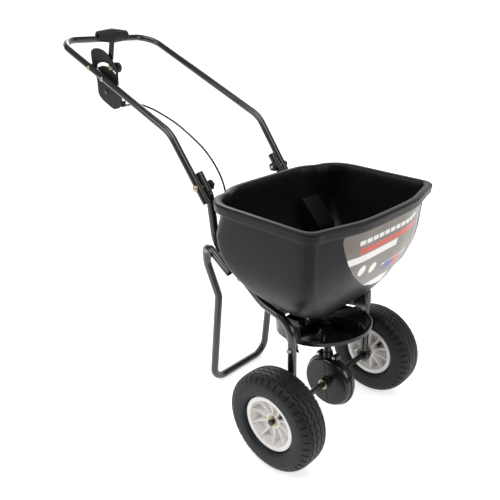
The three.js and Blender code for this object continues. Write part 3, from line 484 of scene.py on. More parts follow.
OUT = [(44 * math.cos(a * D), 44 * math.sin(a * D) * 0.72) for a in (250, 290, 330)]
for x, y in OUT: lathe(b, soft([(9, 0), (11.5, 0), (11.5, 1.6), (9, 1.6)], 0.4), leanP((x, y, 225.6)), (0, ST, CT), 32)
supN = Vector((0, -0.4728, 0.8812))
for s in (-1, 1):
    lathe(b, soft([(0, 12.2), (10, 12.2), (11.5, 36), (0, 36)], 1.2), (s * 155.2, 188, 432.5), supN, 32)
    lathe(b, soft([(0, 33), (13, 33), (12, 38.2), (0, 38.2)], 1.0), (s * 155.2, 188, 432.5), supN, 32)
# moulded pockets on the rear wall
for s in (-1, 1):
    plate(b, rounded([(199, 575), (134, 508), (134, 444), (146, 447), (163, 474), (185, 512), (195.5, 545), (201, 574)], 3.0, 3), [], "yz", s * 95, s * 164)
# paper label on the front wall: plain bars, dots and blocks
def front_y(x, z, cache={}):
    if z not in cache:
        w, yf, yr = hop_dims(z)
        q = sorted(p for p in hop_section(z) if p[1] < yf + 22)
        cache[z] = ([p[0] for p in q], [p[1] for p in q])
    return float(np.interp(x, *cache[z]))
LAB = rounded([(-156, 621), (-151, 595), (-133, 554), (-107, 519), (-70, 487), (-25, 456), (40, 430), (100, 419), (150, 426), (184, 455), (203, 500), (211, 555), (214, 600), (215, 621)], 14, 4)
def inside(x, z):
    c, n = False, len(LAB)
    for i in range(n):
        (x0, z0), (x1, z1) = LAB[i - 1], LAB[i]
        if (z0 > z) != (z1 > z) and x < (x1 - x0) * (z - z0) / (z1 - z0) + x0: c = not c
    return c
def paint(x, z):
    if x > 186 and x < 193 and z > 470: return 6
    if z < 458: 
        if 84 < x < 122 and z > 424: return 4
        return 3
    if (x + 72) ** 2 + (z - 517) ** 2 < 14 ** 2 or (x + 24) ** 2 + (z - 509) ** 2 < 14 ** 2: return 3
    if 545 < z < 562 and x < 60: return 3
    if 566 < z < 580 and -98 < x < 168: return 2
    if 590 < z < 600 and -104 < x < 168 and (x + 104) % 24 < 19: return 3
    if 478 < z < 502 and 34 < x < 112: return 5 if x < 76 else 2
    if 500 < z < 504 and 20 < x < 150: return 3
    return 1
cell = 1.5
nx, nz = int(376 / cell), int(206 / cell)
idx, lv, lf = {}, [], []
def corner(i, j, k):
    if (i, j, k) not in idx:
        x, z = -158 + i * cell, 417 + j * cell
        idx[(i, j, k)] = len(lv)
        lv.append((x, front_y(x, z) - (0.45 if k == 0 else -0.6), z))
    return idx[(i, j, k)]
on = {(i, j) for i in range(nx) for j in range(nz) if inside(-158 + (i + 0.5) * cell, 417 + (j + 0.5) * cell)}
lm = []
for i, j in sorted(on):
    m_ = paint(-158 + (i + 0.5) * cell, 417 + (j + 0.5) * cell)
    lf.append((corner(i, j, 0), corner(i + 1, j, 0), corner(i + 1, j + 1, 0), corner(i, j + 1, 0))); lm.append(m_)
    lf.append((corner(i, j, 1), corner(i, j + 1, 1), corner(i + 1, j + 1, 1), corner(i + 1, j, 1))); lm.append(1)
    for di, dj, p, q in ((-1, 0, (0, 0), (0, 1)), (1, 0, (1, 1), (1, 0)), (0, -1, (1, 0), (0, 0)), (0, 1, (0, 1), (1, 1))):
        if (i + di, j + dj) not in on:
            lf.append((corner(i + p[0], j + p[1], 0), corner(i + q[0], j + q[1], 0), corner(i + q[0], j + q[1], 1), corner(i + p[0], j + p[1], 1))); lm.append(1)
off = len(b.v)
b.v.extend(lv); b.f.extend([tuple(i + off for i in f) for f in lf]); b.m.extend(lm)
hop = make("hopper_shell", b, ["poly", "lab_base", "lab_red", "lab_white", "lab_grey", "lab_blue", "lab_silver"], "frame", ["hopper"], angle=50)

# ------------------------------------------------------------------ tubes
FR, HRr = 11.0, 10.0
JY, JZ, hU = 331, 634, (0.6247, 0.7809)
def capsule(b, x0, x1, r, y, z, prof, seg=48): lathe(b, prof, (0, y, z), (1, 0, 0), seg)
for s, side in ((-1, "right"), (1, "left")):
    b = Build()
    pts = route([(s * 141, JY + 38 * hU[0], JZ + 38 * hU[1]), (s * 141, JY - 26 * hU[0], JZ - 26 * hU[1]), (s * 143, 292, 488), (s * 165, 104, 388.6), (s * 165, 10, 367), (s * 165, 0, 147.5)], [50, 60, 120, 62])
    def rf(i, n=len(pts)): return FR
    tube(b, pts, FR, 40, hollow=8.6)
    lathe(b, soft([(12.3, -6), (20, -6), (20, 6), (12.3, 6)], 0.9), (s * 165, 0, 130), (1, 0, 0), 56)
    make("side_tube_" + side, b, "tube", "frame", ["frame_tube_" + side], angle=40)
b = Build()
tube(b, [p if p[2] > 0 else p for p in route([(-179, 205, 442.2), (-170.6, 302, 493), (-150, 320, 425), (-113, 316, 310), (-113, 342, 12), (113, 342, 12), (113, 316, 310), (150, 320, 425), (170.6, 302, 493), (179, 205, 442.2)], [26, 90, 60, 45, 45, 60, 90, 26])], FR, 40, hollow=8.6)
make("stand_tube", b, "tube", "frame", ["rear_stand"], angle=40)
b = Build()
low = (JY - 44 * hU[0], JZ - 44 * hU[1])
hpts = route([(-163.6, *low), (-168, 431.6, 759.3), (-168, 933.8, 956.3), (168, 933.8, 956.3), (168, 431.6, 759.3), (163.6, *low)], [90, 62, 62, 90])
tube(b, hpts, HRr, 40, hollow=7.8)
make("handle_tube", b, "tube", "handle", ["upper_handle"], angle=40)

# ------------------------------------------------------------------ hardware helpers
def hexa(b, origin, axis, r, t0, t1, mat=0, dome=0.0, turn=0.3):
    lathe(b, [(0, t0), (r, t0), (r, t1), (0, t1)], origin, axis, 6, mat=mat, turn=turn)
def disc(b, origin, axis, r, t0, t1, mat=0, rad=0.8, seg=40, hole=0.0):
    if hole: lathe(b, soft([(hole, t0), (r, t0), (r, t1), (hole, t1)], rad), origin, axis, seg, mat=mat)
    else: lathe(b, soft([(0, t0), (r, t0), (r, t1), (0, t1)], rad), origin, axis, seg, mat=mat)
def dome(b, origin, axis, r, t0, h, mat=0, seg=40):
    prof = [(0, t0), (r, t0)] + [(r * math.cos(a * D), t0 + h * math.sin(a * D)) for a in range(0, 90, 12)] + [(0, t0 + h)]
    lathe(b, prof, origin, axis, seg, mat=mat)
def thread(b, origin, axis, r, t0, t1, pitch=1.25, mat=0, seg=28):
    prof = [(0, t0)]
    t = t0
    while t + pitch <= t1:
        prof += [(r - 0.45, t), (r, t + pitch * 0.5)]; t += pitch
    prof += [(r - 0.45, t1), (0, t1)]
    lathe(b, prof, origin, axis, seg, mat=mat)
X = (1, 0, 0)
for s, side in ((-1, "right"), (1, "left")):
    ax = (s, 0, 0)
    o = (0, JY, JZ)
    b = Build()
    thread(b, o, ax, 4, 116, 150)
    disc(b, o, ax, 4, 149, 176)
    dome(b, o, ax, 9.5, 175.0, 5.6)
    make("fold_bolt_" + side + "_piece", b, "zinc", "frame", ["fold_bolt_" + side], angle=50)
    # ribbed hand knob
    b = Build()
    P = []
    seg = 100
    prof = soft([(4.3, 118), (11.5, 118, 1.5), (13.5, 120.5, 1.6), (13.0, 128.5, 1.2), (9, 128.8), (9, 129.7), (4.3, 129.7)], 1.0)
    a, u, w = frame_of(ax)
    vv, idx = [], []
    for r, t in prof:
        row = []
        for k in range(seg):
            th = 2 * math.pi * k / seg
            rr = r
            if r > 10.5:
                lobe = 0.5 + 0.5 * math.cos(th * 5)
                rr = r - 2.0 * (1 - lobe) ** 2 - 0.35 * (0.5 + 0.5 * math.cos(th * 50))
            row.append(len(vv)); vv.append(Vector(o) + a * t + (u * math.cos(th) + w * math.sin(th)) * rr)
        idx.append(row)
    ff = []
    for i in range(len(prof)):
        p, q = idx[i], idx[(i + 1) % len(prof)]
        for k in range(seg): ff.append((p[k], p[(k + 1) % seg], q[(k + 1) % seg], q[k]))
    b.add(vv, ff)
    make("fold_knob_" + side + "_piece", b, "plastic", "frame", ["fold_knob_" + side], angle=50)
    b = Build()
    o = (0, 268, 475.3)
    thread(b, o, ax, 3.1, 126.5, 140); disc(b, o, ax, 3.1, 139, 187)
    hexa(b, o, ax, 6.8, 185.9, 189.8); disc(b, o, ax, 7.4, 185.2, 186.2)
    hexa(b, o, ax, 6.8, 129.2, 133.6)
    make("stand_bolt_" + side + "_piece", b, "dark", "frame", ["stand_bolt_" + side], bevel=0.35, angle=40)
    b = Build()
    o = (s * 155.2, 188, 432.5)
    disc(b, o, supN, 3.1, -18, 39); dome(b, o, supN, 9, 38.3, 3.4); hexa(b, o, supN, 6.8, -17.5, -11.4)
    make("hopper_bolt_" + side + "_piece", b, "zinc", "frame", ["hopper_bolt_" + side], bevel=0.35, angle=40)
    b = Build()
    o = (0, 0, 130)
    lathe(b, soft([(8.3, 157), (11.9, 157), (11.9, 171.4), (18, 171.4), (18, 174.4), (8.3, 174.4)], 0.6), o, ax, 56)
    make("bushing_" + side, b, "plastic", "frame", ["axle_bushing_" + side], angle=40)
    b = Build()
    lathe(b, soft([(8.3, 174.8), (15.5, 174.8), (15.5, 177.2), (13.4, 177.4), (13.4, 184.4), (14.6, 184.6), (14.6, 187.2), (8.3, 187.2)], 0.5), o, ax, 56)
    make("axle_spacer_" + side + "_piece", b, "zinc", "axle_set", ["axle_spacer_" + side], angle=40)

# ------------------------------------------------------------------ wheels
def tyre(name, cx, body, rep):
    ctl = [(66.5, 26.6), (72.9, 26.9), (74.6, 29.5), (80, 39.2), (87, 41.8), (95, 42.5), (103, 42.3), (110, 41.3), (116.5, 38.9), (122, 35.4), (126, 30.2), (128.6, 23.5), (129.7, 14), (130, 5), (130, 0)]
    pts = []
    for i in range(len(ctl) - 1):
        p0, p1, p2, p3 = (np.array(ctl[max(0, min(len(ctl) - 1, i + j))], float) for j in (-1, 0, 1, 2))
        L = np.linalg.norm(p2 - p1); k = max(2, int(L / 1.0))
        for j in range(k):
            t = j / k
            pts.append(0.5 * ((2 * p1) + (-p0 + p2) * t + (2 * p0 - 5 * p1 + 4 * p2 - p3) * t * t + (-p0 + 3 * p1 - 3 * p2 + p3) * t**3))
    pts.append(np.array(ctl[-1], float))
    half = np.array(pts)
    prof = np.vstack([half, (half[:-1] * [1, -1])[::-1]])
    n = len(prof)
    tan = np.gradient(prof, axis=0)
    nr = np.stack([-tan[:, 1], tan[:, 0]], 1); nr /= np.linalg.norm(nr, axis=1)[:, None]
    if nr[n // 2][0] < 0: nr = -nr
    S = 760
    th = np.arange(S) * 2 * math.pi / S
    R, A = prof[:, 0][:, None], prof[:, 1][:, None]
    TH = th[None, :]
    NB = 40
    tri = np.abs(((TH * NB / (2 * math.pi)) % 1.0) - 0.5) * 4 - 1
    def groove(x0, amp, hw, sh=0.0):
        t2 = np.abs((((TH + sh) * NB / (2 * math.pi)) % 1.0) - 0.5) * 4 - 1
        d = np.abs(A - x0 - amp * t2)
        return np.clip((hw + 0.7 - d) / 0.9, 0, 1)
    depth = np.zeros((n, S))
    tread = (R > 118).astype(float)
    for x0, amp in ((-22.5, 2.4), (-7.6, 2.4), (7.6, 2.4), (22.5, 2.4)):
        depth = np.maximum(depth, groove(x0, amp, 1.25) * 3.2)
    frac = (TH * NB / (2 * math.pi)) % 1.0
    # shoulder slots
    dd = np.abs(((frac - 0.0) + 0.5) % 1.0 - 0.5) * 2 * math.pi / NB * 124
    aa = np.abs(A)
    sh = np.clip((1.7 - dd) / 0.8, 0, 1) * np.clip((aa - 28.5) / 1.0, 0, 1) * np.clip((R - 112.5) / 1.5, 0, 1) * np.clip((41.5 - aa) / 1.0, 0, 1)
    depth = np.maximum(depth, sh * 3.0)
    depth *= np.clip((R - 112) / 1.0, 0, 1)
    # rings and fine radial serrations on the side walls
    side = (np.abs(A) > 30) & (R < 112)
    ringd = 0.7 * np.exp(-((R - 107.5) / 0.9) ** 2) + 0.6 * np.exp(-((R - 83.0) / 0.9) ** 2) + 0.8 * np.exp(-((R - 78.0) / 1.0) ** 2) + 0.4 * np.exp(-((R - 99.5) / 0.6) ** 2)
    serr = 0.28 * (0.5 + 0.5 * np.cos(TH * 190)) * np.exp(-((R - 103.5) / 2.0) ** 4)
    depth = depth - (ringd + serr) * side
    RR = R - depth * nr[:, 0][:, None]
    AA = A - depth * nr[:, 1][:, None] + 0 * TH
    x = cx + AA
    y = RR * np.cos(TH)
    z = 130 + RR * np.sin(TH)
    z = np.maximum(z, 1.0)
    V = np.stack([x, y, z], -1).reshape(-1, 3)
    i = np.arange(n)[:, None]; j = np.arange(S)[None, :]
    i2, j2 = (i + 1) % n, (j + 1) % S
    F = np.stack([i * S + j + 0 * i2, i * S + j2 + 0 * i, i2 * S + j2, i2 * S + j + 0 * i], -1).reshape(-1, 4)
    me = bpy.data.meshes.new(name)
    V = (V + SH) / 1000
    me.vertices.add(len(V)); me.vertices.foreach_set("co", V.astype(np.float32).ravel())
    me.loops.add(F.size); me.loops.foreach_set("vertex_index", F.astype(np.int32).ravel())
    me.polygons.add(len(F)); me.polygons.foreach_set("loop_start", np.arange(0, F.size, 4, dtype=np.int32))
    me.update(calc_edges=True); me.validate()
    bm = bmesh.new(); bm.from_mesh(me); bmesh.ops.recalc_face_normals(bm, faces=bm.faces); bm.to_mesh(me); bm.free()
    me.materials.append(M["tyre"])
    me.polygons.foreach_set("use_smooth", [True] * len(me.polygons))
    me.set_sharp_from_angle(angle=55 * D)
    o = bpy.data.objects.new(name, me)
    bpy.context.scene.collection.objects.link(o)
    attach(o, body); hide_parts(rep)
def rim(name, s, body, rep):
    cx = s * 221.5
    o, ax = (cx, 0, 130), (s, 0, 0)
    b = Build()
    prof = [(8.3, -34), (19.4, -34), (20.6, -5), (58.5, -4), (61.8, -20), (61.5, -31.4), (72.4, -31.4), (72.4, -27.4), (66, -27.2), (66, 27.2), (72.4, 27.4), (72.4, 31.4), (61.5, 31.4), (61.8, 20), (58.5, 4), (20.6, 5), (19.4, 15.5), (8.3, 15.5)]
    lathe(b, soft(prof, 1.3, 3), o, ax, 112)
    for k in range(10):
        a0 = (36 * k + 9) * D
        for lo, hi_hub, hi_rim, sg in ((3, 15, 26, 1), (3, 30, 26, -1)):
            nseg = 10
            vv, ff = [], []
            for j in range(nseg + 1):
                t = j / nseg
                r = 15 + (63 - 15) * t
                top = (hi_hub + (hi_rim - hi_hub) * t) - 5.0 * math.sin(math.pi * t) * (1 if sg > 0 else 0.6)
                hw0, hw1 = 2.4, 1.6
                for hw, h in ((hw0, lo), (hw1 + 0.15, top - 0.9), (hw1 - 0.5, top), (-(hw1 - 0.5), top), (-(hw1 + 0.15), top - 0.9), (-hw0, lo)):
                    y = r * math.cos(a0) - hw * math.sin(a0)
                    z = r * math.sin(a0) + hw * math.cos(a0)
                    vv.append((cx + s * sg * h, y, 130 + z))
            for j in range(nseg):
                for q in range(5): ff.append((j * 6 + q, j * 6 + q + 1, (j + 1) * 6 + q + 1, (j + 1) * 6 + q))
                ff.append((j * 6 + 5, j * 6, (j + 1) * 6, (j + 1) * 6 + 5))
            ff.append(tuple(range(6))); ff.append(tuple(nseg * 6 + q for q in range(6)))
            b.add(vv, ff)
    make(name, b, "rim", body, [rep], angle=38)
for s, w, body in ((-1, "drive", "axle_set"), (1, "idle", "idle_wheel")):
    tyre(w + "_tyre_piece", s * 221.5, body, w + "_tyre")
    rim(w + "_rim_piece", s, body, w + "_rim")
    va = 135 * D
    vy, vz = 32 * math.cos(va), 130 + 32 * math.sin(va)
    b = Build()
    lathe(b, soft([(0, 203), (4.2, 203), (4.0, 222), (3.0, 224), (3.0, 229), (3.9, 229.4), (4.0, 238.4), (3.2, 240), (0, 240)], 0.5), (0, vy, vz), (s, 0, 0), 28)
    make(w + "_valve_piece", b, "plastic", body, [w + "_valve_stem"], angle=40)
    b = Build()
    lathe(b, soft([(8.3, 237.3), (15, 237.3), (15, 239.5), (8.3, 239.5)], 0.5), (0, 0, 130), (s, 0, 0), 48)
    make(w + "_washer_piece", b, "zinc", "axle_set", [w + "_washer"], angle=40)
b = Build()
lathe(b, soft([(0, -248), (6.6, -248, 0.3), (7.9, -246.6), (7.9, 246.6), (6.6, 248, 0.3), (0, 248)], 0.5), (0, 0, 130), X, 40)
make("axle_rod", b, "dark", "axle_set", ["axle"], angle=40)
# split cotters: a bent wire with an eye
def cotter(name, x, rep, mat="zinc", body="axle_set", r=1.3):
    b = Build()
    pts = []
    for t in range(0, 13):
        a = (-60 + 300 * t / 12) * D
        pts.append((x, 3.6 * math.cos(a), 130 + 15.2 + 3.4 * math.sin(a)))
    tube(b, [(x, 0.8, 130 - 13.5), (x, 0.8, 130 + 11)] + [(x, 1.8, 130 + 12.0)] + pts[0:1] + pts[1:] + [(x, -1.8, 130 + 12.0), (x, -0.8, 130 + 11), (x, -0.8, 130 - 12)], r * 0.8, 12)
    make(name, b, mat, body, [rep], angle=60)
cotter("cotter_right", -243.3, "axle_cotter_right")
cotter("cotter_left", 243.3, "axle_cotter_left")
cotter("case_cotter_piece", -39.6, "case_cotter_right")

# ------------------------------------------------------------------ gear case
def halfcase(name, s, rep):
    b = Build()
    prof = [(0, 0.15), (75, 0.15, 0.4), (75, 4, 1.0), (71.2, 5, 0.8), (70.4, 14, 3), (67.5, 18.6, 3), (63, 21.4, 3), (0, 21.4)]
    lathe(b, soft(prof, 0.8, 4), (0, 0, 0), (s, 0, 0), 96, xf=leanP)
    lathe(b, soft([(20, 20), (18.5, 24.5, 2), (15, 24.5, 1), (15, 33, 1), (8.3, 33), (8.3, 20)], 1.0), (0, 0, 0), (s, 0, 0), 56, xf=leanP)
    # half of the shaft boss on top and the lugs
    seg = 24
    for (r0, r1, h0, h1) in ((14.5, 13, 58, 86), (10.2, 9.5, 86, 99)):
        vv, ff = [], []
        for h, r in ((h0, r0), (h1 - 0.8, r1), (h1, r1 - 0.8)):
            for k in range(seg + 1):
                a = math.pi * k / seg
                vv.append(leanP((s * (0.15 + r * math.sin(a)), r * math.cos(a), h)))
        for i in range(2):
            for k in range(seg): ff.append((i * (seg + 1) + k, i * (seg + 1) + k + 1, (i + 1) * (seg + 1) + k + 1, (i + 1) * (seg + 1) + k))
            ff.append((i * (seg + 1), (i + 1) * (seg + 1), (i + 2) * (seg + 1) - 1, (i + 1) * (seg + 1) - 1))
        ff.append(tuple(2 * (seg + 1) + k for k in range(seg + 1)))
        ff.append(tuple(range(seg + 1))[::-1])
        b.add(vv, ff)
    for y, z in ((25, 74), (-25, 74)):
        lathe(b, soft([(0, 0.15), (8, 0.15, 0.3), (8, 9), (0, 9)], 1.0), (0, y, z), (s, 0, 0), 36, xf=leanP)
        plate(b, [(y - 8, 61), (y + 8, 61), (y + 8, z), (y - 8, z)], [], "yz", s * 0.15, s * 9, xf=leanP)
    # stiffening ribs on the flank
    for k in range(6):
        a = (k * 60 + 30) * D
        pts = [(24 + (60 - 24) * t, 21.2 + 1.4 * math.sin(math.pi * t)) for t in (0, 0.2, 0.5, 0.8, 1)]
        vv, ff = [], []
        for r, h in pts:
            for hw, hh in ((1.8, 20.5), (1.2, h + 0.6), (-1.2, h + 0.6), (-1.8, 20.5)):
                vv.append(leanP((s * hh, r * math.cos(a) - hw * math.sin(a), r * math.sin(a) + hw * math.cos(a))))
        for i in range(4):
            for q in range(4): ff.append((i * 4 + q, i * 4 + (q + 1) % 4, (i + 1) * 4 + (q + 1) % 4, (i + 1) * 4 + q))
        ff.append((0, 1, 2, 3)); ff.append((16, 17, 18, 19))
        if k % 3: b.add(vv, ff)
    make(name, b, "gloss", "frame", [rep], angle=40)
halfcase("case_half_right", -1, "gearcase_right_half")
halfcase("case_half_left", 1, "gearcase_left_half")
for i, (y, z) in enumerate(((25, 74), (-25, 74))):
    b = Build()
    lathe(b, soft([(0, -12.6), (4.6, -12.4), (4.6, -9.4), (2.3, -9.3), (2.3, 11), (0, 11)], 0.5), (0, y, z), X, 28, xf=leanP)
    make("case_screw_%d" % (i + 1), b, "steel", "frame", ["gearcase_screw_%d" % (i + 1)], angle=40)
b = Build()
lathe(b, soft([(8.3, 33.4), (14, 33.4), (14, 35.6), (8.3, 35.6)], 0.5), (0, 0, 130), (-1, 0, 0), 48)
make("case_washer_piece", b, "zinc", "axle_set", ["case_washer_right"], angle=40)
b = Build()
lathe(b, soft([(8.3, 33.4), (15, 33.4), (15, 35.4), (12, 35.8), (12, 42), (8.3, 42)], 0.5), (0, 0, 130), (1, 0, 0), 48)
make("case_collar_piece", b, "zinc", "axle_set", ["case_collar_left"], angle=40)

# ------------------------------------------------------------------ spinner, shaft, deflector
b = Build()
lathe(b, soft([(5.25, 150), (15, 150, 1), (16, 162, 3), (22, 164, 3), (117.5, 164, 0.5), (118.2, 157.8, 0.5), (121, 158, 0.8), (121, 168.3, 1.5), (117, 168, 1), (112, 167, 2), (24, 167, 4), (16.5, 172, 5), (15, 192, 1.2), (5.25, 192, 0.4)], 1.0, 4), (0, 0, 0), (0, 0, 1), 128, xf=leanP)
for k in range(6):
    a = (214.5 + 60 * k) * D
    nseg = 22
    vv, ff = [], []
    for j in range(nseg + 1):
        r = 13 + (114 - 13) * j / nseg
        top = 166.5 + 23.5 * (min(1, (r - 8) / 20) ** 0.6) if r < 28 else (190 if r < 96 else 190 - 14 * ((r - 96) / 18) ** 1.6)
        bend = 3.0 * math.sin(math.pi * j / nseg)
        for hw, h in ((1.9, 166), (1.3, top - 0.8), (0.7, top), (-0.7, top), (-1.3, top - 0.8), (-1.9, 166)):
            vv.append(leanP((r * math.cos(a) - (hw + bend) * math.sin(a), r * math.sin(a) + (hw + bend) * math.cos(a), h)))
    for j in range(nseg):
        for q in range(6): ff.append((j * 6 + q, j * 6 + (q + 1) % 6, (j + 1) * 6 + (q + 1) % 6, (j + 1) * 6 + q))
    ff.append(tuple(range(6))); ff.append(tuple(nseg * 6 + q for q in range(6)))
    b.add(vv, ff)
make("spinner_disc", b, "gloss", "spinner_set", ["spinner"], angle=40)
b = Build()
lathe(b, soft([(0, 31), (5, 31), (5, 261.4), (4.2, 262), (0, 262)], 0.4), (0, 0, 0), (0, 0, 1), 36, xf=leanP)
make("shaft_rod", b, "steel", "spinner_set", ["spinner_shaft"], angle=40)
for nm, h, L in (("spinner_pin", 158, 16), ("agitator_pin", 248, 34)):
    b = Build()
    lathe(b, soft([(0, -L), (1.6, -L), (1.6, L), (0, L)], 0.4), (0, 0, h), X, 20, xf=leanP)
    make(nm + "_piece", b, "steel", "spinner_set", [nm], angle=40)
b = Build()
lathe(b, soft([(5.3, 218), (9, 218), (9, 226.6), (14, 226.6), (14, 230), (5.3, 230)], 0.6), (0, 0, 0), (0, 0, 1), 48, xf=leanP)
make("shaft_bush_piece", b, "plastic", "frame", ["shaft_bushing"], angle=40)
# deflector: a curved wall with a rolled lower edge and a top lip
b = Build()
nseg = 224
prof = [(131.0, 168.6), (131.4, 168), (130.6, 167.6), (129.0, 167.8), (128.4, 168.6), (128.4, 227.4), (128.8, 228), (130.6, 228), (131, 227.4), (131, 190)]
vv, ff = [], []
for j in range(nseg + 1):
    a = (-22 + 210 * j / nseg) * D
    cut = 25.0 if abs(a / D - 90) < 2.9 else 0.0
    for r, h in prof: vv.append(leanP((r * math.cos(a), r * math.sin(a), h - cut if h > 200 else h)))
m = len(prof)
for j in range(nseg):
    for q in range(m): ff.append((j * m + q, j * m + (q + 1) % m, (j + 1) * m + (q + 1) % m, (j + 1) * m + q))
ff.append(tuple(range(m))); ff.append(tuple(nseg * m + q for q in range(m)))
b.add(vv, ff)
for s in (-1, 1):
    boxm(b, s * 110, s * 130, -9, 9, 203.4, 206, xf=leanP)
    disc(b, leanP((s * 118, 0, 206)), (0, ST, CT), 5, 0, 2.4)
make("deflector_wall", b, "shroud", "frame", ["spinner_deflector"], angle=40)

# ------------------------------------------------------------------ CAD pieces that keep their own shape
for nname, mat in (("gate_bracket", "tube"), ("shutter_gate", "steel"), ("cross_brace", "tube"), ("control_lever", "tube"), ("ring_gear", "gear"), ("bevel_pinion", "gear"), ("drive_pin", "steel")):
    keep(nname, mat)
for s, side in ((-1, "right"), (1, "left")):
    b = Build()
    o, ax = (0, 7, 300), (s, 0, 0)
    disc(b, o, ax, 3, 146, 180, rad=0.3); hexa(b, o, ax, 6.3, 176.5, 180.5); hexa(b, o, ax, 6.3, 146.5, 150.6)
    make("brace_bolt_" + side + "_piece", b, "zinc", "frame", ["brace_bolt_" + side], bevel=0.35, angle=40)
    b = Build()
    o, up = leanP((s * 74, 0, 0)), (0, ST, CT)
    disc(b, o, up, 3, 195, 227, rad=0.3); disc(b, o, up, 5.6, 203.4, 218.6, rad=0.5); hexa(b, o, up, 5.9, 196, 199.6); dome(b, o, up, 7.5, 226.4, 2.6)
    make("floor_bolt_" + side + "_piece", b, "zinc", "frame", ["floor_bolt_" + side], bevel=0.3, angle=40)

# ------------------------------------------------------------------ lever, plate, grip, stop knob
LY, LZ, LA = 722, 830, 105
def polar(r, a): return (LY + r * math.cos(a * D), LZ + r * math.sin(a * D))
SR = 75
slotpts = [polar(SR - 4.6, 64 + i * 67.9 / 26) for i in range(27)] + [polar(SR, 131.9 + 3.4)] + [polar(SR + 4.6, 131.9 - i * 67.9 / 26) for i in range(27)] + [polar(SR, 64 - 3.4)]
outl = [(784, 934), (772, 943), (750, 946), (728, 944), (708, 936), (690, 925), (672, 908), (660, 893), (662, 851), (650, 815), (654, 799), (668, 790), (691, 784), (714, 792), (748, 806), (764, 820), (764, 860), (781, 893)]
b = Build()
plate(b, rounded(outl, 9, 5), [slotpts, ring(4.4, 20, LY, LZ), ring(3.3, 16, 769, 891.6), ring(3.3, 16, 708, 867.7)], "yz", -156.4, -153.9)
boxm(b, -155, -141, 654, 656.5, 795, 811)
# raised setting marks beside the slot
for i in range(12):
    a = 68 + i * 5.2
    p, q = polar(SR + 7.6, a), polar(SR + 11.2, a)
    dy, dz = -math.sin(a * D) * 0.5, math.cos(a * D) * 0.5
    if p[1] < 938 and q[1] < 941:
        plate(b, [(p[0] - dy, p[1] - dz), (q[0] - dy, q[1] - dz), (q[0] + dy, q[1] + dz), (p[0] + dy, p[1] + dz)], [], "yz", -157.0, -156.2)
make("lever_plate", b, "plastic", "handle", ["control_plate"], bevel=0.4, angle=40)
for i, (y, z) in enumerate(((769, 891.6), (708, 867.7))):
    b = Build()
    disc(b, (0, y, z), X, 3, -180, -151, rad=0.3); dome(b, (0, y, z), (-1, 0, 0), 6.5, 178.3, 3.7); hexa(b, (0, y, z), X, 6.3, -153.6, -151)
    make("plate_bolt_%d_piece" % (i + 1), b, "zinc", "handle", ["plate_bolt_%d" % (i + 1)], bevel=0.3, angle=40)
b = Build()
o = (0, LY, LZ)
disc(b, o, X, 4, -157.5, -142, rad=0.3); dome(b, o, (-1, 0, 0), 7.5, 156.8, 3.8); hexa(b, o, X, 6.8, -146.9, -142.5)
make("pivot_bolt_piece", b, "dark", "handle", ["lever_pivot_bolt"], bevel=0.3, angle=40)
gc = polar(156, LA)
b = Build()
prof = [(0, -30), (8, -30), (8, -45.4), (9, -46), (11.8, -46), (12.6, -45.2)]
prof += [(12.6 + 6.2 * (1 - abs(t) / 46) ** 0.9, t) for t in range(-44, 45, 2)]
prof += [(12.6, 45.2), (11.8, 46), (9, 46), (8, 45.4), (8, 30), (0, 30)]
vv, idx, seg = [], [], 160
for r, t in prof:
    row = []
    for k in range(seg):
        th = 2 * math.pi * k / seg
        rr = r - (1.1 * (0.5 + 0.5 * math.cos(th * 16)) ** 3 if r > 12.7 else 0)
        row.append(len(vv)); vv.append((-149 + t, gc[0] + rr * math.cos(th), gc[1] + rr * math.sin(th)))
    idx.append(row)
ff = [(p[k], p[(k + 1) % seg], q[(k + 1) % seg], q[k]) for p, q in zip(idx, idx[1:]) for k in range(seg)]
b.add(vv, ff)
make("tee_grip", b, "plastic", "lever", ["lever_grip"], angle=60)
sc = polar(SR, 116.5)
b = Build()
thread(b, (0, *sc), X, 4, -158, -126); hexa(b, (0, *sc), X, 6.8, -161, -156.8)
make("stop_bolt_piece", b, "zinc", "stop", ["stop_bolt"], bevel=0.3, angle=40)
b = Build()
prof = soft([(4.3, -153.6), (7, -153.6), (7, -143.2), (13.4, -142.4, 1), (14, -140, 1), (13.4, -130, 1.4), (11, -129), (4.3, -129)], 0.6)
vv, idx = [], []
seg = 120
for r, t in prof:
    row = []
    for k in range(seg):
        th = 2 * math.pi * k / seg
        rr = r - (1.1 * (0.5 + 0.5 * math.cos(th * 20)) if r > 12 else 0)
        row.append(len(vv)); vv.append((t, sc[0] + rr * math.cos(th), sc[1] + rr * math.sin(th)))
    idx.append(row)
ff = []
for i in range(len(prof)):
    p, q = idx[i], idx[(i + 1) % len(prof)]
    for k in range(seg): ff.append((p[k], p[(k + 1) % seg], q[(k + 1) % seg], q[k]))
b.add(vv, ff)
make("stop_knob_piece", b, "plastic", "stop", ["stop_knob"], angle=60)

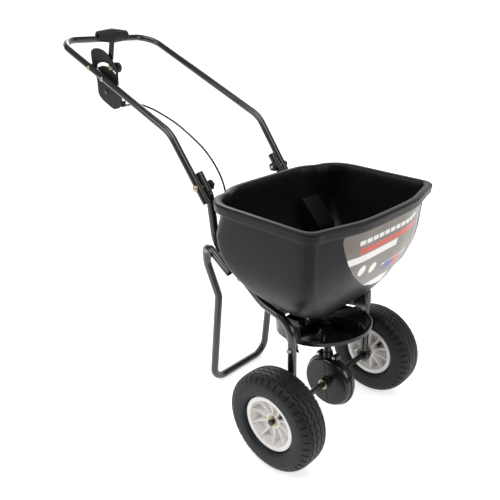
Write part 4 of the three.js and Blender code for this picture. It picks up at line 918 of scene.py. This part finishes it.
# ------------------------------------------------------------------ cable
cr = [(-148, 664, 801.6), (-148, 640, 801.6), (-147, 606, 808.5), (-146, 577, 810), (-144, 532, 804.5), (-142, 501, 797), (-138, 442, 778), (-133, 386, 750), (-129, 345, 724), (-125, 311, 690), (-121, 290, 655), (-117, 279, 615), (-111, 271, 570), (-103, 266, 515), (-91, 262, 460), (-70, 252, 405), (-40, 230, 355), (-12, 205, 326), leanP((0, 150, 210.6)), leanP((0, 124, 210.6)), leanP((0, 78, 210.6))]
pts = []
for i in range(len(cr) - 1):
    p0, p1, p2, p3 = (Vector(cr[max(0, min(len(cr) - 1, i + j))]) for j in (-1, 0, 1, 2))
    if i == 0: p0 = p1 * 2 - p2
    if i == len(cr) - 2: p3 = p2 * 2 - p1
    d1, d2, d3 = (max(1e-3, (q - p).length ** 0.5) for p, q in ((p0, p1), (p1, p2), (p2, p3)))
    m1 = ((p1 - p0) / d1 - (p2 - p0) / (d1 + d2) + (p2 - p1) / d2) * d2
    m2 = ((p2 - p1) / d2 - (p3 - p1) / (d2 + d3) + (p3 - p2) / d3) * d2
    for j in range(10):
        t = j / 10
        pts.append(p1 * (2 * t**3 - 3 * t**2 + 1) + m1 * (t**3 - 2 * t**2 + t) + p2 * (-2 * t**3 + 3 * t**2) + m2 * (t**3 - t**2))
pts.append(Vector(cr[-1]))
b = Build()
tube(b, pts, 2.6, 16)
# end ferrules
tube(b, [pts[0], pts[3], pts[6]], 3.8, 20)
tube(b, [pts[-12], pts[-6], pts[-2]], 3.6, 20)
js = (np.array([-129, 300, 560]) + SH) / 1000
je = (np.array([-129, 372, 742]) + SH) / 1000
make("cable_sleeve_piece", b, "cable", None, ["control_cable"], angle=60, blend=("frame", "handle", tuple(js), tuple(je)))

# ------------------------------------------------------------------ floor, backdrop and light
me = bpy.data.meshes.new("studio_floor")
bm = bmesh.new()
prof = [(-6.0, 0.0), (3.2, 0.0)] + [(3.2 + 2.0 * math.sin(a * D), 2.0 - 2.0 * math.cos(a * D)) for a in range(10, 91, 10)] + [(5.2, 7.0)]
dirv = Vector((math.cos(43 * D), math.sin(43 * D), 0)); sidev = Vector((dirv.y, -dirv.x, 0))
rws = [[bm.verts.new(dirv * d + sidev * w + Vector((0, 0, z))) for w in (-9, 9)] for d, z in prof]
for i in range(len(rws) - 1): bm.faces.new((rws[i][0], rws[i][1], rws[i + 1][1], rws[i + 1][0]))
bmesh.ops.recalc_face_normals(bm, faces=bm.faces)
bm.to_mesh(me); bm.free()
me.polygons.foreach_set("use_smooth", [True] * len(me.polygons))
fm, nt, bs = nt_new("studio_white")
col = mixc(nt, noise(nt, coords(nt), 1.5, 2, 0.5), (0.86, 0.86, 0.865), (0.88, 0.88, 0.885))
nt.links.new(col, bs.inputs["Base Color"])
bs.inputs["Roughness"].default_value = 0.9
bs.inputs["Specular IOR Level"].default_value = 0.1
bs.inputs["Emission Color"].default_value = (1, 1, 1, 1)
bs.inputs["Emission Strength"].default_value = 0.62
me.materials.append(fm)
fl = bpy.data.objects.new("studio_floor", me)
bpy.context.scene.collection.objects.link(fl)

world = bpy.data.worlds.new("studio")
bpy.context.scene.world = world
world.use_nodes = True
bg = world.node_tree.nodes["Background"]
bg.inputs["Color"].default_value = (1, 1, 1, 1)
bg.inputs["Strength"].default_value = 0.24
def area(name, loc, target, size, power, col=(1, 1, 1), sy=None):
    l = bpy.data.lights.new(name, "AREA")
    l.shape = "RECTANGLE"; l.size = size; l.size_y = sy or size
    l.energy = power; l.color = col
    o = bpy.data.objects.new(name, l)
    bpy.context.scene.collection.objects.link(o)
    o.location = loc
    d = Vector(target) - Vector(loc)
    o.rotation_euler = d.to_track_quat("-Z", "Y").to_euler()
    return o
area("key_above", (-0.6, -0.6, 3.2), (0, 0, 0.4), 2.6, 62)
area("left_soft", (-2.6, 1.2, 1.9), (0, 0, 0.5), 1.4, 26)
area("right_soft", (1.2, -3.0, 1.7), (0, 0, 0.5), 1.4, 26)
area("back_rim", (1.8, 2.6, 2.4), (0, 0, 0.5), 1.6, 30)
bpy.context.scene.view_settings.view_transform = "Standard"
bpy.context.scene.view_settings.look = "None"

bpy.context.view_layer.update()
